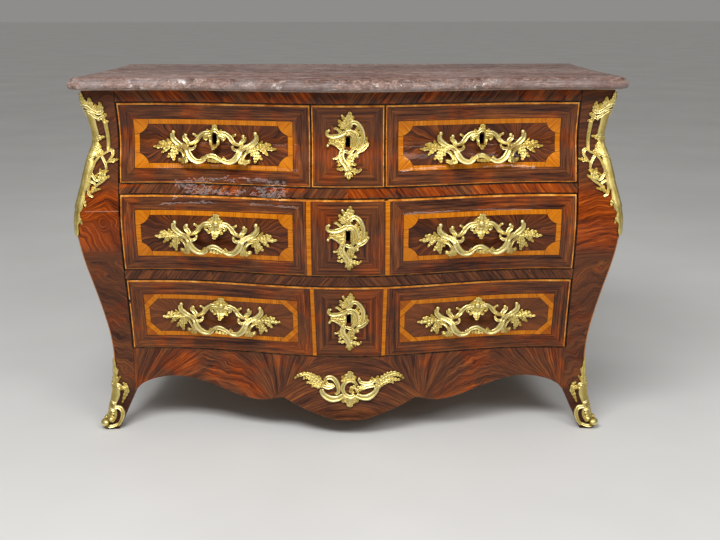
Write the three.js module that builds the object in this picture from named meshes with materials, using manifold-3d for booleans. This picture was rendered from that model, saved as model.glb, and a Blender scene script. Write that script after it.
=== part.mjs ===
// A bombe commode: a veneered chest of drawers with a serpentine front, swelling sides,
// splayed front feet, a shaped apron, a moulded marble top and openwork gilt mounts.
// Millimetres, +Z up. The front faces -Y and +X is the viewer's right.
import * as THREE from 'three';
import { mergeVertices } from 'three/addons/utils/BufferGeometryUtils.js';
import Module from 'manifold-3d';

const wasm = await Module();
wasm.setup();

// Case
const caseTop = 857;
const drawerHalf = 548;
const postWidth = 78;
const cornerHalf = drawerHalf + postWidth;
const cornerRadius = 14;
const backY = 545;
const postDepth = 70;
const rearPostDepth = 50;
const rearPostStep = 33;
const rearPostInner = drawerHalf - rearPostStep;
const panelThick = 18;
const panelRecess = 6;
const panelFrame = 70;
const backBottom = 150;
const boardThick = 12;
const railBack = 60;
const apronThick = 30;

// Shape of the front, the sides and the standing profile that both follow
const swell = 72;
const cornerRise = 8;
const hollowShare = 0.759;
const hollowAt = hollowShare * cornerHalf;
const sideHollow = 10;
const backNarrow = 18;
const bellyOut = 29;
const profileShares = [
  [0, 0], [0.105, -0.68], [0.2, -0.9], [0.28, -0.78], [0.36, -0.4], [0.44, 0.09], [0.53, 0.66], [0.61, 0.97],
  [0.66, 0.93], [0.74, 0.41], [0.8, -0.02], [0.86, -0.56], [0.92, -0.36], [0.97, 0.03], [1, 0.08],
];
const heightSteps = 25;
const frontSteps = 10;
const sideSteps = 6;

// Feet
const kneeHeight = 91;
const sideKneeHeight = 134;
const footFlare = 41;
const footInner = drawerHalf + footFlare;
const footDepth = 40;
const rearFootFlare = 52;
const rearFootInner = rearPostInner + rearFootFlare;

// Apron outline, from the foot to the pendant: shares of the drawer half-width and of the knee height
const apronShares = [
  [1.0055, 1], [0.963, 1.25], [0.893, 1.41], [0.799, 1.47], [0.712, 1.4], [0.618, 1.24],
  [0.504, 1.02], [0.399, 0.945], [0.304, 1.07], [0.228, 0.84], [0.138, 0.64], [0.07, 0.53], [0, 0.505],
];
const pendantLow = kneeHeight * apronShares[apronShares.length - 1][1];
const sideArchRise = 42;
const sideArchSteps = 8;

// Drawers
const rowShares = { top: [0.7433, 0.965], middle: [0.4947, 0.713], bottom: [0.2439, 0.4621] };
const rows = Object.fromEntries(
  Object.entries(rowShares).map(([row, ends]) => [row, ends.map((share) => share * caseTop)]),
);
const frontThick = 24;
const frontGap = 1.5;
const boxGap = 4;
const boxTopGap = 8;
const boxWall = 11;
const boxBehind = 75;
const boxBack = backY - boxBehind;
const bottomThick = 8;
const bottomRise = 6;
const dividerAt = 86;
const dividerThick = 14;
const seatGap = 0.3;
const overrun = 20;
const shortInner = dividerAt + frontGap / 2;
const shortOuter = drawerHalf - frontGap;
const centreHalf = dividerAt - frontGap / 2;
const handleAt = (shortInner + shortOuter) / 2;

// Locks
const keyAbove = 3;
const keyWidth = 10;
const keyHeight = 24;
const lockWidth = 54;
const lockThick = 14;
const lockDrop = 34;
const boltWidth = 24;
const boltThick = 8;
const boltLength = 56;
const boltThrow = 8;
const boltPlay = 0.4;

// Marble
const marbleThick = 27;
const marbleOverhang = 35;
const marbleSideLess = 5;
const marbleBack = 5;
const mouldingDepth = 16;
const mouldingShares = [[0, -0.75], [0.1, -0.2], [0.35, 0], [0.6, -0.12], [0.7, -0.5], [0.9, -0.55], [1, -0.8]];
const marbleArcSteps = 5;

// Gilt mounts
const mountGap = 0.6;
const mountThick = 6;
const chuteThick = 6;
const chuteLength = 360;
const sabotThick = 4.5;
const handleThick = 7;
const handleGaps = { top: 0.8, middle: 1.2, bottom: 0.8 };
const gripLift = 24;
const gripReach = [58, 100];
const gripTop = 14;
const gripBottom = -22;
const handleDrop = 5;
const escutcheonRise = 5;
const toeScroll = 9;
const toeHeight = 27;

// Strokes of the mounts, left half where a mount is mirrored: points along each stroke, and its width
// at the start, the middle and the end. Widths and points are sizes on the metal.
const handleStrokes = [
  [[[-12, 30], [-30, 35], [-46, 28], [-56, 15], [-70, 9], [-80, 15], [-79, 28]], [9, 9, 6]],
  [[[-44, 6], [-55, -4], [-58, -22], [-48, -39], [-30, -45], [-14, -38], [0, -32]], [8, 10, 11]],
  [[[-50, 9], [-74, 3], [-98, 3], [-124, 9], [-150, 4]], [8, 11, 4]],
  [[[-92, 1], [-74, -4], [-67, -18], [-70, -34], [-80, -40]], [8, 9, 9]],
  [[[-95, 4], [-100, 17], [-106, 29]], [10, 9, 8]],
  [[[-104, 2], [-111, -10], [-116, -23]], [10, 9, 4]],
  [[[-97, 0], [-99, -15], [-95, -30]], [9, 9, 3]],
  [[[-120, 7], [-129, -2], [-133, -13]], [8, 7, 3]],
  [[[-117, 8], [-123, 16], [-125, 26]], [7, 6, 3]],
];
const handleCentreStrokes = [
  [[[0, 50], [0, 34], [0, 12]], [12, 34, 26]],
  [[[0, 14], [-1, 2], [-2, -9]], [20, 13, 4]],
  [[[-26, 16], [0, 22], [26, 16]], [7, 10, 7]],
];
const escutcheonStrokes = [
  [[[-24, 14], [-2, 20], [24, 28]], [20, 34, 16]],
  [[[-20, 4], [-16, -14], [-10, -24]], [26, 18, 12]],
  [[[4, 36], [22, 42], [33, 18], [28, -8], [6, -22], [-12, -20]], [18, 16, 8]],
  [[[-6, 18], [2, 44], [4, 58], [-8, 76]], [22, 22, 7]],
  [[[3, 54], [9, 64], [9, 74]], [12, 9, 4]],
  [[[-8, 30], [-14, 44], [-19, 54]], [14, 11, 5]],
  [[[-20, 17], [-36, 15], [-46, 20], [-46, 31]], [12, 10, 5]],
  [[[-14, 24], [-21, 32], [-30, 34]], [9, 8, 5]],
  [[[-46, -5], [-36, -1], [-26, -12], [-23, -28], [-27, -37], [-36, -36]], [7, 8, 5]],
  [[[-20, -20], [-20, -40], [-8, -58], [0, -78]], [10, 18, 4]],
  [[[24, -14], [42, -8], [48, 2], [44, 13]], [9, 11, 4]],
  [[[6, -20], [20, -20], [24, -31]], [8, 8, 6]],
  [[[10, -24], [2, -42], [8, -54], [19, -46]], [10, 9, 4]],
  [[[-28, -54], [-14, -54], [-4, -62]], [5, 8, 8]],
  [[[0, -56], [14, -58], [29, -56]], [8, 8, 4]],
];
const apronMountStrokes = [
  [[[-66, 7], [-84, 22], [-112, 30], [-138, 20]], [12, 15, 4]],
  [[[-80, 18], [-96, 13], [-107, 12]], [10, 10, 5]],
  [[[-66, 12], [-82, 5], [-98, 3]], [10, 9, 4]],
  [[[-70, 10], [-66, -12], [-44, -25], [-12, -18]], [9, 12, 12]],
  [[[-72, 15], [-50, 27], [-34, 17], [-27, -2], [-36, -20]], [8, 9, 6]],
  [[[-72, 8], [-50, 3], [-38, 7]], [8, 7, 5]],
  [[[-14, 17], [-13, 27], [-2, 38]], [10, 12, 8]],
];
const apronCentreStrokes = [
  [[[14, 16], [0, 21], [-14, 13], [-17, 0], [-12, -13], [2, -18], [14, -12]], [9, 10, 9]],
  [[[0, 20], [2, 33], [4, 46]], [30, 26, 9]],
  [[[0, -17], [2, -32], [0, -48]], [20, 36, 6]],
  [[[8, -13], [6, -3], [12, 3]], [7, 8, 5]],
];
// Corner mounts: the first number is the distance from the arris; the second is the height, from
// the top of the case for the upper mounts and from the floor for the shoes
const chuteStrokes = [
  [[[0, -35], [2, -77], [5, -121], [6, -167], [6, -217], [4, -277], [1, -345]], [30, 24, 10]],
  [[[-6, -31], [10, -39], [24, -51], [36, -51]], [14, 13, 11]],
  [[[-2, -33], [-3, -11]], [12, 8, 3]],
  [[[10, -37], [13, -19]], [15, 12, 5]],
  [[[28, -51], [32, -33]], [11, 8, 4]],
  [[[24, -53], [32, -69], [33, -93], [28, -135]], [12, 9, 7]],
  [[[5, -109], [16, -103], [30, -105]], [8, 6, 5]],
  [[[28, -133], [35, -149], [30, -165]], [8, 8, 7]],
  [[[29, -164], [40, -168], [52, -163]], [7, 8, 3]],
  [[[4, -171], [20, -154], [31, -141]], [10, 8, 6]],
  [[[21, -153], [30, -173], [32, -197], [22, -225], [4, -251]], [6, 10, 8]],
  [[[26, -217], [38, -210], [48, -201]], [9, 7, 3]],
  [[[14, -237], [24, -239], [34, -233]], [8, 7, 3]],
  [[[6, -245], [15, -255], [24, -257]], [8, 6, 4]],
];
const sabotStrokes = [
  [[[1, 112], [1, 150], [2, 182]], [17, 15, 3]],
  [[[3, 118], [9, 124], [15, 131]], [9, 7, 3]],
  [[[-4, 106], [6, 108], [14, 108]], [18, 16, 12]],
  [[[0, 112], [1, 62], [-1, 8]], [20, 16, 24]],
  [[[12, 108], [24, 106], [22, 88], [17, 70]], [7, 11, 4]],
  [[[4, 66], [19, 58], [27, 40], [20, 12]], [8, 9, 12]],
  [[[0, 12], [12, 12], [24, 12]], [9, 8, 8]],
];
const strokeSteps = 1;
const fineness = 0.12;
const mountFineness = 1;

// Finishes
const kingwood = { color: 0x4a2218, roughness: 0.35, metalness: 0 };
const oak = { color: 0x9b7448, roughness: 0.8, metalness: 0 };
const marble = { color: 0x9a8078, roughness: 0.25, metalness: 0 };
const gilt = { color: 0xd9b84a, roughness: 0.3, metalness: 1 };
const iron = { color: 0x4c4b4a, roughness: 0.5, metalness: 1 };

const commode = new THREE.Group();

function addPart(name, geometry, finish) {
  const mesh = new THREE.Mesh(geometry, new THREE.MeshStandardMaterial(finish));
  mesh.name = name;
  commode.add(mesh);
}

// Values at even stations, joined by straight lines, so that neighbours share their facets
function stations(from, to, steps) {
  return Array.from({ length: steps + 1 }, (_, i) => from + ((to - from) * i) / steps);
}

function polyline(knots, values) {
  return (t) => {
    let k = 1;
    while (k < knots.length - 1 && knots[k] < t) k += 1;
    const share = (t - knots[k - 1]) / (knots[k] - knots[k - 1]);
    return values[k - 1] + (values[k] - values[k - 1]) * share;
  };
}

// A smooth curve through a table of places and values
function smoothCurve(table) {
  const slope = (k) => {
    const before = table[Math.max(k - 1, 0)];
    const after = table[Math.min(k + 1, table.length - 1)];
    return (after[1] - before[1]) / (after[0] - before[0]);
  };
  return (t) => {
    let k = 1;
    while (k < table.length - 1 && table[k][0] < t) k += 1;
    const [t0, v0] = table[k - 1];
    const [t1, v1] = table[k];
    const span = t1 - t0;
    const u = (t - t0) / span;
    const hold = 2 * u ** 3 - 3 * u ** 2 + 1;
    const turn = u ** 3 - 2 * u ** 2 + u;
    const arrive = u ** 3 - u ** 2;
    return v0 * hold + v1 * (1 - hold) + span * (turn * slope(k - 1) + arrive * slope(k));
  };
}

// The standing profile: how far the case swells out at a height
const heightKnots = stations(0, caseTop, heightSteps);
const profileCurve = smoothCurve(profileShares);
const bulge = polyline(heightKnots, heightKnots.map((z) => bellyOut * profileCurve(z / caseTop)));

// The serpentine front: how far forward the plan comes at a place along it
function serpentine(x) {
  const reach = Math.abs(x);
  if (reach < hollowAt) return (swell * (1 + Math.cos((Math.PI * reach) / hollowAt))) / 2 - cornerRise;
  return cornerRise * ((reach - hollowAt) / (cornerHalf - hollowAt)) ** 2 - cornerRise;
}
const frontKnots = stations(-drawerHalf, drawerHalf, 2 * frontSteps);
const plan = polyline(frontKnots, frontKnots.map(serpentine));
const frontY = (x, z) => -plan(x) - bulge(z);

// The sides: half the width of the plan at a depth, before the profile is added
function sideCurve(y) {
  return cornerHalf - (backNarrow * y) / backY - sideHollow * Math.sin((Math.PI * y) / backY);
}
const sideKnots = stations(postDepth, backY - rearPostDepth, sideSteps);
const sideStops = [...sideKnots, backY];
const sidePlan = polyline(sideStops, sideStops.map(sideCurve));

function levels(from, to) {
  return [from, ...heightKnots.filter((z) => z > from + seatGap && z < to - seatGap), to];
}

function along(from, to) {
  return [from, ...frontKnots.filter((x) => x > from + seatGap && x < to - seatGap), to];
}

// A closed body from level rings of points, each ring counter-clockwise seen from above
function stack(rings) {
  const count = rings[0].length;
  const position = rings.flat().flatMap((p) => [p.x, p.y, p.z]);
  const index = [];
  for (let k = 0; k < rings.length - 1; k += 1) {
    for (let i = 0; i < count; i += 1) {
      const a = k * count + i;
      const b = k * count + ((i + 1) % count);
      index.push(a, b, b + count, a, b + count, a + count);
    }
  }
  const last = (rings.length - 1) * count;
  const cap = (ring) => THREE.ShapeUtils.triangulateShape(ring.map((p) => new THREE.Vector2(p.x, p.y)), []);
  for (const [a, b, c] of cap(rings[0])) index.push(c, b, a);
  for (const [a, b, c] of cap(rings[rings.length - 1])) index.push(last + a, last + b, last + c);
  const geometry = new THREE.BufferGeometry();
  geometry.setAttribute('position', new THREE.Float32BufferAttribute(position, 3));
  geometry.setIndex(index);
  return geometry;
}

const ringAt = (z, points) => points.map(([x, y]) => new THREE.Vector3(x, y, z));

function block(x0, x1, y0, y1, z0, z1) {
  const box = new THREE.BoxGeometry(x1 - x0, y1 - y0, z1 - z0);
  return box.translate((x0 + x1) / 2, (y0 + y1) / 2, (z0 + z1) / 2);
}

function mirror(geometry) {
  const other = geometry.clone().scale(-1, 1, 1);
  const index = other.index.array;
  for (let i = 0; i < index.length; i += 3) [index[i], index[i + 1]] = [index[i + 1], index[i]];
  return other;
}

// Solids for cutting and joining
function solidOf(geometry) {
  const bare = geometry.clone();
  bare.deleteAttribute('normal');
  bare.deleteAttribute('uv');
  const merged = mergeVertices(bare);
  return new wasm.Manifold(new wasm.Mesh({
    numProp: 3,
    vertProperties: new Float32Array(merged.attributes.position.array),
    triVerts: new Uint32Array(merged.index.array),
  }));
}

function geometryOf(solid) {
  const mesh = solid.simplify(fineness).getMesh();
  const geometry = new THREE.BufferGeometry();
  geometry.setAttribute('position', new THREE.Float32BufferAttribute(mesh.vertProperties, mesh.numProp));
  geometry.setIndex(Array.from(mesh.triVerts));
  return geometry;
}

function cut(geometry, ...cutters) {
  return geometryOf(cutters.reduce((body, cutter) => body.subtract(solidOf(cutter)), solidOf(geometry)));
}

function join(geometries) {
  return geometries.slice(1).reduce((body, next) => body.add(solidOf(next)), solidOf(geometries[0]));
}

// A board whose face follows the front of the case
function frontBoard(x0, x1, z0, z1, backAt) {
  const xs = along(x0, x1);
  const back = backAt.length ? xs.slice().reverse() : [x1, x0];
  return stack(levels(z0, z1).map((z) => ringAt(z, [
    ...xs.map((x) => [x, frontY(x, z)]),
    ...back.map((x) => [x, backAt(x, z)]),
  ])));
}

// The section of a front corner post outside, from its front inner edge round the arris to the side
function cornerLine(z, xInner, yInner, offset) {
  const out = bulge(z);
  const centreX = cornerHalf - cornerRadius + out;
  const centreY = cornerRadius - out;
  const frontShare = (xInner - drawerHalf) / (centreX - drawerHalf);
  const frontEnd = frontY(drawerHalf, z) * (1 - frontShare) - out * frontShare;
  const sideShare = (yInner - centreY) / (postDepth - centreY);
  const sideEnd = (cornerHalf + out) * (1 - sideShare) + (sidePlan(postDepth) + out) * sideShare;
  const arc = stations(-90, 0, 3).map((degrees) => {
    const angle = THREE.MathUtils.degToRad(degrees);
    const reach = cornerRadius + offset;
    return [centreX + reach * Math.cos(angle), centreY + reach * Math.sin(angle)];
  });
  return [[xInner, frontEnd - offset], ...arc, [sideEnd + offset, yInner]];
}

function frontFootInner(z) {
  if (z > kneeHeight) return drawerHalf;
  return footInner + ((drawerHalf - footInner) * z) / kneeHeight;
}

function footInnerDepth(z) {
  return z > sideKneeHeight ? postDepth : footDepth + ((postDepth - footDepth) * z) / sideKneeHeight;
}

function postLevels() {
  const all = [...heightKnots, kneeHeight, sideKneeHeight].sort((a, b) => a - b);
  return all.filter((z, i) => i === 0 || z - all[i - 1] > overrun / 4);
}

function frontPost() {
  return stack(postLevels().map((z) => {
    const xInner = frontFootInner(z);
    const yInner = footInnerDepth(z);
    return ringAt(z, [...cornerLine(z, xInner, yInner, 0), [xInner, yInner]]);
  }));
}

function rearPost() {
  const front = backY - rearPostDepth;
  return stack(postLevels().map((z) => {
    const share = Math.max(0, 1 - z / sideKneeHeight);
    const xInner = rearPostInner + (rearFootInner - rearPostInner) * share;
    const yInner = front + (rearPostDepth - footDepth) * share;
    const out = bulge(z);
    return ringAt(z, [[xInner, yInner], [sidePlan(yInner) + out, yInner], [sidePlan(backY) + out, backY], [xInner, backY]]);
  }));
}

// The side between the posts: shaped outside, flat inside, with an arched lower edge
function sidePanel() {
  const front = postDepth + seatGap;
  const rear = backY - rearPostDepth - seatGap;
  const ys = [front, ...sideKnots.slice(1, -1), rear];
  const inner = drawerHalf + seatGap;
  const body = stack(levels(kneeHeight, caseTop).map((z) => ringAt(z, [
    ...ys.map((y) => [sidePlan(y) + bulge(z), y]),
    [inner, rear],
    [inner, front],
  ])));
  const arch = new THREE.Shape();
  arch.moveTo(front - overrun, kneeHeight - overrun);
  const arc = stations(0, Math.PI, sideArchSteps);
  for (const angle of arc) {
    const y = (front + rear) / 2 - ((rear - front) / 2) * Math.cos(angle);
    arch.lineTo(y, kneeHeight + sideArchRise * Math.sin(angle));
  }
  arch.lineTo(rear + overrun, kneeHeight - overrun);
  const tool = new THREE.ExtrudeGeometry(arch, { depth: 2 * cornerHalf, bevelEnabled: false });
  tool.applyMatrix4(new THREE.Matrix4().makeBasis(
    new THREE.Vector3(0, 1, 0), new THREE.Vector3(0, 0, 1), new THREE.Vector3(1, 0, 0),
  ));
  return cut(body, tool);
}

// Turns a flat outline drawn in x and z, extruded forward from y = back
function standing(shape, depth, back) {
  const tool = new THREE.ExtrudeGeometry(shape, { depth, bevelEnabled: false });
  return tool.rotateX(Math.PI / 2).translate(0, back, 0);
}

function apronPanel() {
  const end = drawerHalf - seatGap;
  const body = frontBoard(-end, end, pendantLow, rows.bottom[0], (x, z) => frontY(x, z) + apronThick);
  const half = apronShares.map(([a, b]) => [a * drawerHalf, b * kneeHeight]);
  const arch = new THREE.Shape();
  arch.moveTo(-half[0][0] - overrun, pendantLow - overrun);
  for (const [x, z] of half) arch.lineTo(-x, z);
  for (const [x, z] of half.slice(0, -1).reverse()) arch.lineTo(x, z);
  arch.lineTo(half[0][0] + overrun, pendantLow - overrun);
  return cut(body, standing(arch, 2 * (swell + railBack), railBack + swell));
}

// Keyhole: a slot with a round head, through whatever it is cut in
function keyhole(x, z) {
  const shape = new THREE.Shape();
  const radius = keyWidth / 2;
  shape.absarc(x, z + keyHeight / 2 - radius, radius, 0, Math.PI);
  shape.lineTo(x - radius, z - keyHeight / 2);
  shape.lineTo(x + radius, z - keyHeight / 2);
  const tool = new THREE.ExtrudeGeometry(shape, {
    depth: 4 * (swell + railBack), bevelEnabled: false, curveSegments: 4,
  });
  return tool.rotateX(Math.PI / 2).translate(0, 2 * (swell + railBack), 0);
}

// Drawer fronts are flat behind in height and follow the serpentine in plan
function innerFace(row) {
  const lowest = Math.min(...levels(...rows[row]).map(bulge));
  return (x) => -plan(x) + frontThick - lowest;
}

const keyHeightOf = (row) => (rows[row][0] + rows[row][1]) / 2 + escutcheonRise + keyAbove;

function lockPlace(row, x) {
  const inner = innerFace(row);
  const half = lockWidth / 2;
  const face = Math.min(inner(x - half), inner(x), inner(x + half));
  return { face: face + seatGap, bottom: keyHeightOf(row) - lockDrop, top: rows[row][1] - frontGap - seatGap };
}

function boltBox(row, x, play, rise) {
  const { face, top } = lockPlace(row, x);
  const middle = face + lockThick / 2;
  const half = boltWidth / 2 + play;
  const deep = boltThick / 2 + play;
  return block(x - half, x + half, middle - deep, middle + deep, top - boltLength - play, top - seatGap + rise);
}

function drawerFront(row, x0, x1, locksAt) {
  const [z0, z1] = rows[row];
  const inner = innerFace(row);
  const body = frontBoard(x0, x1, z0 + frontGap, z1 - frontGap, inner);
  const half = lockWidth / 2 + seatGap;
  const tools = locksAt.flatMap((x) => {
    const { face, bottom } = lockPlace(row, x);
    const recess = block(x - half, x + half, face - seatGap, railBack + swell, bottom - seatGap, z1 + overrun);
    return [keyhole(x, keyHeightOf(row)), recess];
  });
  return cut(body, ...tools);
}

function addLock(name, row, x) {
  const { face, bottom, top } = lockPlace(row, x);
  const half = lockWidth / 2;
  const body = block(x - half, x + half, face, face + lockThick, bottom, top);
  addPart(`${name}_lock`, cut(body, boltBox(row, x, boltPlay, overrun), keyhole(x, keyHeightOf(row))), iron);
  addPart(`${name}_bolt`, boltBox(row, x, 0, 0), iron);
}

function mortise(row, x) {
  const { face } = lockPlace(row, x);
  const middle = face + lockThick / 2;
  const half = boltWidth / 2 + 3 * boltPlay;
  const deep = boltThick / 2 + 3 * boltPlay;
  return block(x - half, x + half, middle - deep, middle + deep, rows[row][1] - overrun, rows[row][1] + boltThrow + frontGap);
}

function boxWalls(row, x0, x1) {
  const [z0, z1] = rows[row];
  const inner = innerFace(row);
  const wallAt = (x, other) => [Math.max(inner(x), inner(other)) + seatGap, z0 + seatGap, z1 - boxTopGap];
  return {
    left: wallAt(x0, x0 + boxWall),
    right: wallAt(x1, x1 - boxWall),
  };
}

function drawerBottom(row, x0, x1) {
  const inner = innerFace(row);
  const xs = along(x0 + boxWall + seatGap, x1 - boxWall - seatGap);
  const low = rows[row][0] + bottomRise;
  const back = boxBack - boxWall - seatGap;
  const outline = [...xs.map((x) => [x, inner(x) + seatGap]), [xs[xs.length - 1], back], [xs[0], back]];
  return stack([low, low + bottomThick].map((z) => ringAt(z, outline)));
}

function addWideDrawer(name, row) {
  const half = drawerHalf - frontGap;
  const box = drawerHalf - boxGap;
  const walls = boxWalls(row, -box, box);
  const [low, high] = walls.left.slice(1);
  addPart(`${name}_front`, drawerFront(row, -half, half, [0]), kingwood);
  addPart(`${name}_left_side`, block(-box, -box + boxWall, walls.left[0], boxBack, low, high), oak);
  addPart(`${name}_right_side`, block(box - boxWall, box, walls.right[0], boxBack, low, high), oak);
  const inside = box - boxWall - seatGap;
  addPart(`${name}_back`, block(-inside, inside, boxBack - boxWall, boxBack, low, high), oak);
  addPart(`${name}_bottom`, drawerBottom(row, -box, box), oak);
  addLock(name, row, 0);
}

// The short drawers: sides and back are one dovetailed box behind the front
function addShortDrawer(name, x0, x1, lockAt) {
  const row = 'top';
  const left = x0 + (x0 < -dividerAt ? 0 : dividerThick / 2) + boxGap;
  const right = x1 - (x1 > dividerAt ? 0 : dividerThick / 2) - boxGap;
  const walls = boxWalls(row, left, right);
  const [low, high] = walls.left.slice(1);
  const outline = [
    [left, walls.left[0]], [left + boxWall, walls.left[0]], [left + boxWall, boxBack - boxWall],
    [right - boxWall, boxBack - boxWall], [right - boxWall, walls.right[0]], [right, walls.right[0]],
    [right, boxBack], [left, boxBack],
  ];
  addPart(`${name}_front`, drawerFront(row, x0, x1, [lockAt]), kingwood);
  addPart(`${name}_box`, stack([low, high].map((z) => ringAt(z, outline))), oak);
  addPart(`${name}_bottom`, drawerBottom(row, left, right), oak);
  addLock(name, row, lockAt);
}

// The divisions between the short drawers stand behind the fronts, which meet before them
function partition(x) {
  const wide = dividerThick / 2;
  const step = innerFace('top')(x) + overrun / 4;
  const rear = backY - panelThick - seatGap;
  return block(x - wide, x + wide, step, rear, rows.top[0] + seatGap, rows.top[1] - seatGap);
}

// Boards between the rows, let in round the rear posts
function dustboard(top, frontEdge) {
  const wide = drawerHalf - seatGap;
  const narrow = rearPostInner - seatGap;
  const step = backY - rearPostDepth - seatGap;
  const rear = backY - panelThick - seatGap;
  const outline = [...frontEdge, [wide, step], [narrow, step], [narrow, rear], [-narrow, rear], [-narrow, step], [-wide, step]];
  return stack([top - boardThick, top].map((z) => ringAt(z, outline)));
}

function backPanel() {
  const half = rearPostInner - seatGap;
  const body = block(-half, half, backY - panelThick, backY, backBottom, caseTop - seatGap);
  const field = (x0, x1) => block(
    x0, x1, backY - panelRecess, backY + overrun, backBottom + panelFrame, caseTop - panelFrame,
  );
  const stile = panelFrame / 2;
  return cut(body, field(-half + panelFrame, -stile), field(stile, half - panelFrame));
}

function marbleTop() {
  const out = bulge(caseTop);
  const line = (inset) => {
    const over = marbleOverhang + inset;
    const centreX = cornerHalf - cornerRadius + out - marbleSideLess;
    const arc = stations(-90, 0, marbleArcSteps).map((degrees) => {
      const angle = THREE.MathUtils.degToRad(degrees);
      const reach = cornerRadius + over;
      return [centreX + reach * Math.cos(angle), cornerRadius - out + reach * Math.sin(angle)];
    });
    const sides = [...sideKnots, backY].map((y) => [sidePlan(y) + out - marbleSideLess + over, y]);
    const right = [...arc, ...sides.slice(0, -1), [sides[sides.length - 1][0], backY + marbleBack]];
    const front = frontKnots.map((x) => [x, frontY(x, caseTop) - over]);
    return [...front, ...right, ...right.slice().reverse().map(([x, y]) => [-x, y])];
  };
  return stack(mouldingShares.map(([height, inset]) => ringAt(
    caseTop + seatGap + marbleThick * height, line(mouldingDepth * inset),
  )));
}

// One tapering stroke of a mount, drawn flat
function strokeShape(points, widths) {
  const curve = new THREE.SplineCurve(points.map(([u, v]) => new THREE.Vector2(u, v)));
  const steps = Math.max(2, Math.round((points.length - 1) * strokeSteps));
  const widthAt = polyline([0, 0.5, 1], widths);
  const left = [];
  const right = [];
  for (const t of stations(0, 1, steps)) {
    const p = curve.getPoint(t);
    const ahead = curve.getTangent(t);
    const half = widthAt(t) / 2;
    left.push(new THREE.Vector2(p.x - ahead.y * half, p.y + ahead.x * half));
    right.unshift(new THREE.Vector2(p.x + ahead.y * half, p.y - ahead.x * half));
  }
  return new THREE.Shape([...left, ...right]);
}

function flipped(strokes) {
  return strokes.map(([points, widths]) => [points.map(([u, v]) => [-u, v]), widths]);
}

// All strokes joined into one flat casting of a depth, its back at y = back, facing forward
function casting(strokes, depth, back, place) {
  const flats = strokes.map(([points, widths]) => {
    const placed = points.map(place);
    return standing(strokeShape(placed, widths), depth, back);
  });
  return join(flats).simplify(mountFineness);
}

// The layer of metal in front of the case between two stations
function frontLayer(x0, x1, z0, z1) {
  return frontBoard(x0, x1, z0, z1, (x, z) => frontY(x, z) + mountThick).translate(0, -mountThick - mountGap, 0);
}

function hugging(strokes, x, z, reach, rise) {
  const body = casting(strokes, 2 * (swell + railBack), swell + railBack, ([u, v]) => [x + u, z + v]);
  return body.intersect(solidOf(frontLayer(x - reach, x + reach, z - rise, z + rise)));
}

function addEscutcheon(name, row) {
  const middle = (rows[row][0] + rows[row][1]) / 2 + escutcheonRise;
  const reach = keyHeight * 4;
  const body = hugging(escutcheonStrokes, 0, middle, reach, reach);
  addPart(`${name}_escutcheon`, geometryOf(body.subtract(solidOf(keyhole(0, keyHeightOf(row))))), gilt);
}

// A handle is one casting, bent: its leafy ends and its cartouche lie on the drawer, its grip stands off
function lift(u, v) {
  const inward = THREE.MathUtils.smoothstep(-Math.abs(u), -gripReach[1], -gripReach[0]);
  const downward = THREE.MathUtils.smoothstep(-v, -gripTop, -gripBottom);
  return gripLift * inward * downward;
}

function addHandle(name, row, x, keyed) {
  const middle = (rows[row][0] + rows[row][1]) / 2 - (keyed ? handleDrop : 0);
  const strokes = [...handleStrokes, ...flipped(handleStrokes), ...handleCentreStrokes];
  let body = casting(strokes, handleThick, 0, ([u, v]) => [x + u, middle + v]);
  if (keyed) body = body.subtract(solidOf(keyhole(x, keyHeightOf(row))));
  const geometry = geometryOf(body);
  const position = geometry.attributes.position;
  for (let i = 0; i < position.count; i += 1) {
    const px = position.getX(i);
    const pz = position.getZ(i);
    position.setY(i, position.getY(i) + frontY(px, pz) - handleGaps[row] - lift(px - x, pz - middle));
  }
  addPart(name, geometry, gilt);
}

// Corner mounts: a layer round the arris, cut to the outline on the front and again on the side
function cornerBody(z0, z1, offset) {
  const inner = drawerHalf + seatGap;
  return solidOf(stack(levels(z0, z1).map((z) => ringAt(z, [
    ...cornerLine(z, inner, postDepth - seatGap, offset),
    [inner, postDepth - seatGap],
  ]))));
}

function cornerLayer(z0, z1, thick) {
  return cornerBody(z0, z1, thick + mountGap).subtract(cornerBody(z0, z1, mountGap));
}

function cornerCasting(strokes, base) {
  const span = cornerHalf;
  const depth = 4 * postDepth;
  const turned = ([s, z]) => [cornerHalf + bulge(Math.min(Math.max(base + z, 0), caseTop)) - s, base + z];
  const front = casting(strokes, depth, depth / 2, turned);
  const swap = new THREE.Matrix4().makeBasis(
    new THREE.Vector3(0, -1, 0), new THREE.Vector3(-1, 0, 0), new THREE.Vector3(0, 0, 1),
  );
  swap.setPosition(cornerHalf, cornerHalf, 0);
  const flat = geometryOf(front).applyMatrix4(swap);
  const index = flat.index.array;
  for (let i = 0; i < index.length; i += 3) [index[i], index[i + 1]] = [index[i + 1], index[i]];
  const halfSpace = (side) => {
    const box = new THREE.BoxGeometry(2 * span, 2 * span, 4 * caseTop);
    return solidOf(box.translate(0, side * (span - seatGap), 0).rotateZ(-Math.PI / 4).translate(cornerHalf, 0, 0));
  };
  return front.intersect(halfSpace(-1)).add(solidOf(flat).intersect(halfSpace(1)));
}

function chute() {
  const layer = cornerLayer(caseTop - chuteLength, caseTop - seatGap, chuteThick);
  return geometryOf(cornerCasting(chuteStrokes, caseTop).intersect(layer));
}

function sabot() {
  const shoe = cornerCasting(sabotStrokes, 0).intersect(cornerLayer(seatGap, 2 * kneeHeight, sabotThick));
  const out = bulge(toeHeight);
  const scroll = new THREE.CylinderGeometry(toeScroll, toeScroll, 2 * toeScroll, 8).rotateZ(-Math.PI / 4);
  scroll.translate(cornerHalf + out, -out, toeHeight);
  return geometryOf(shoe.add(solidOf(scroll).subtract(cornerBody(seatGap, 2 * kneeHeight, mountGap))));
}

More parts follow.
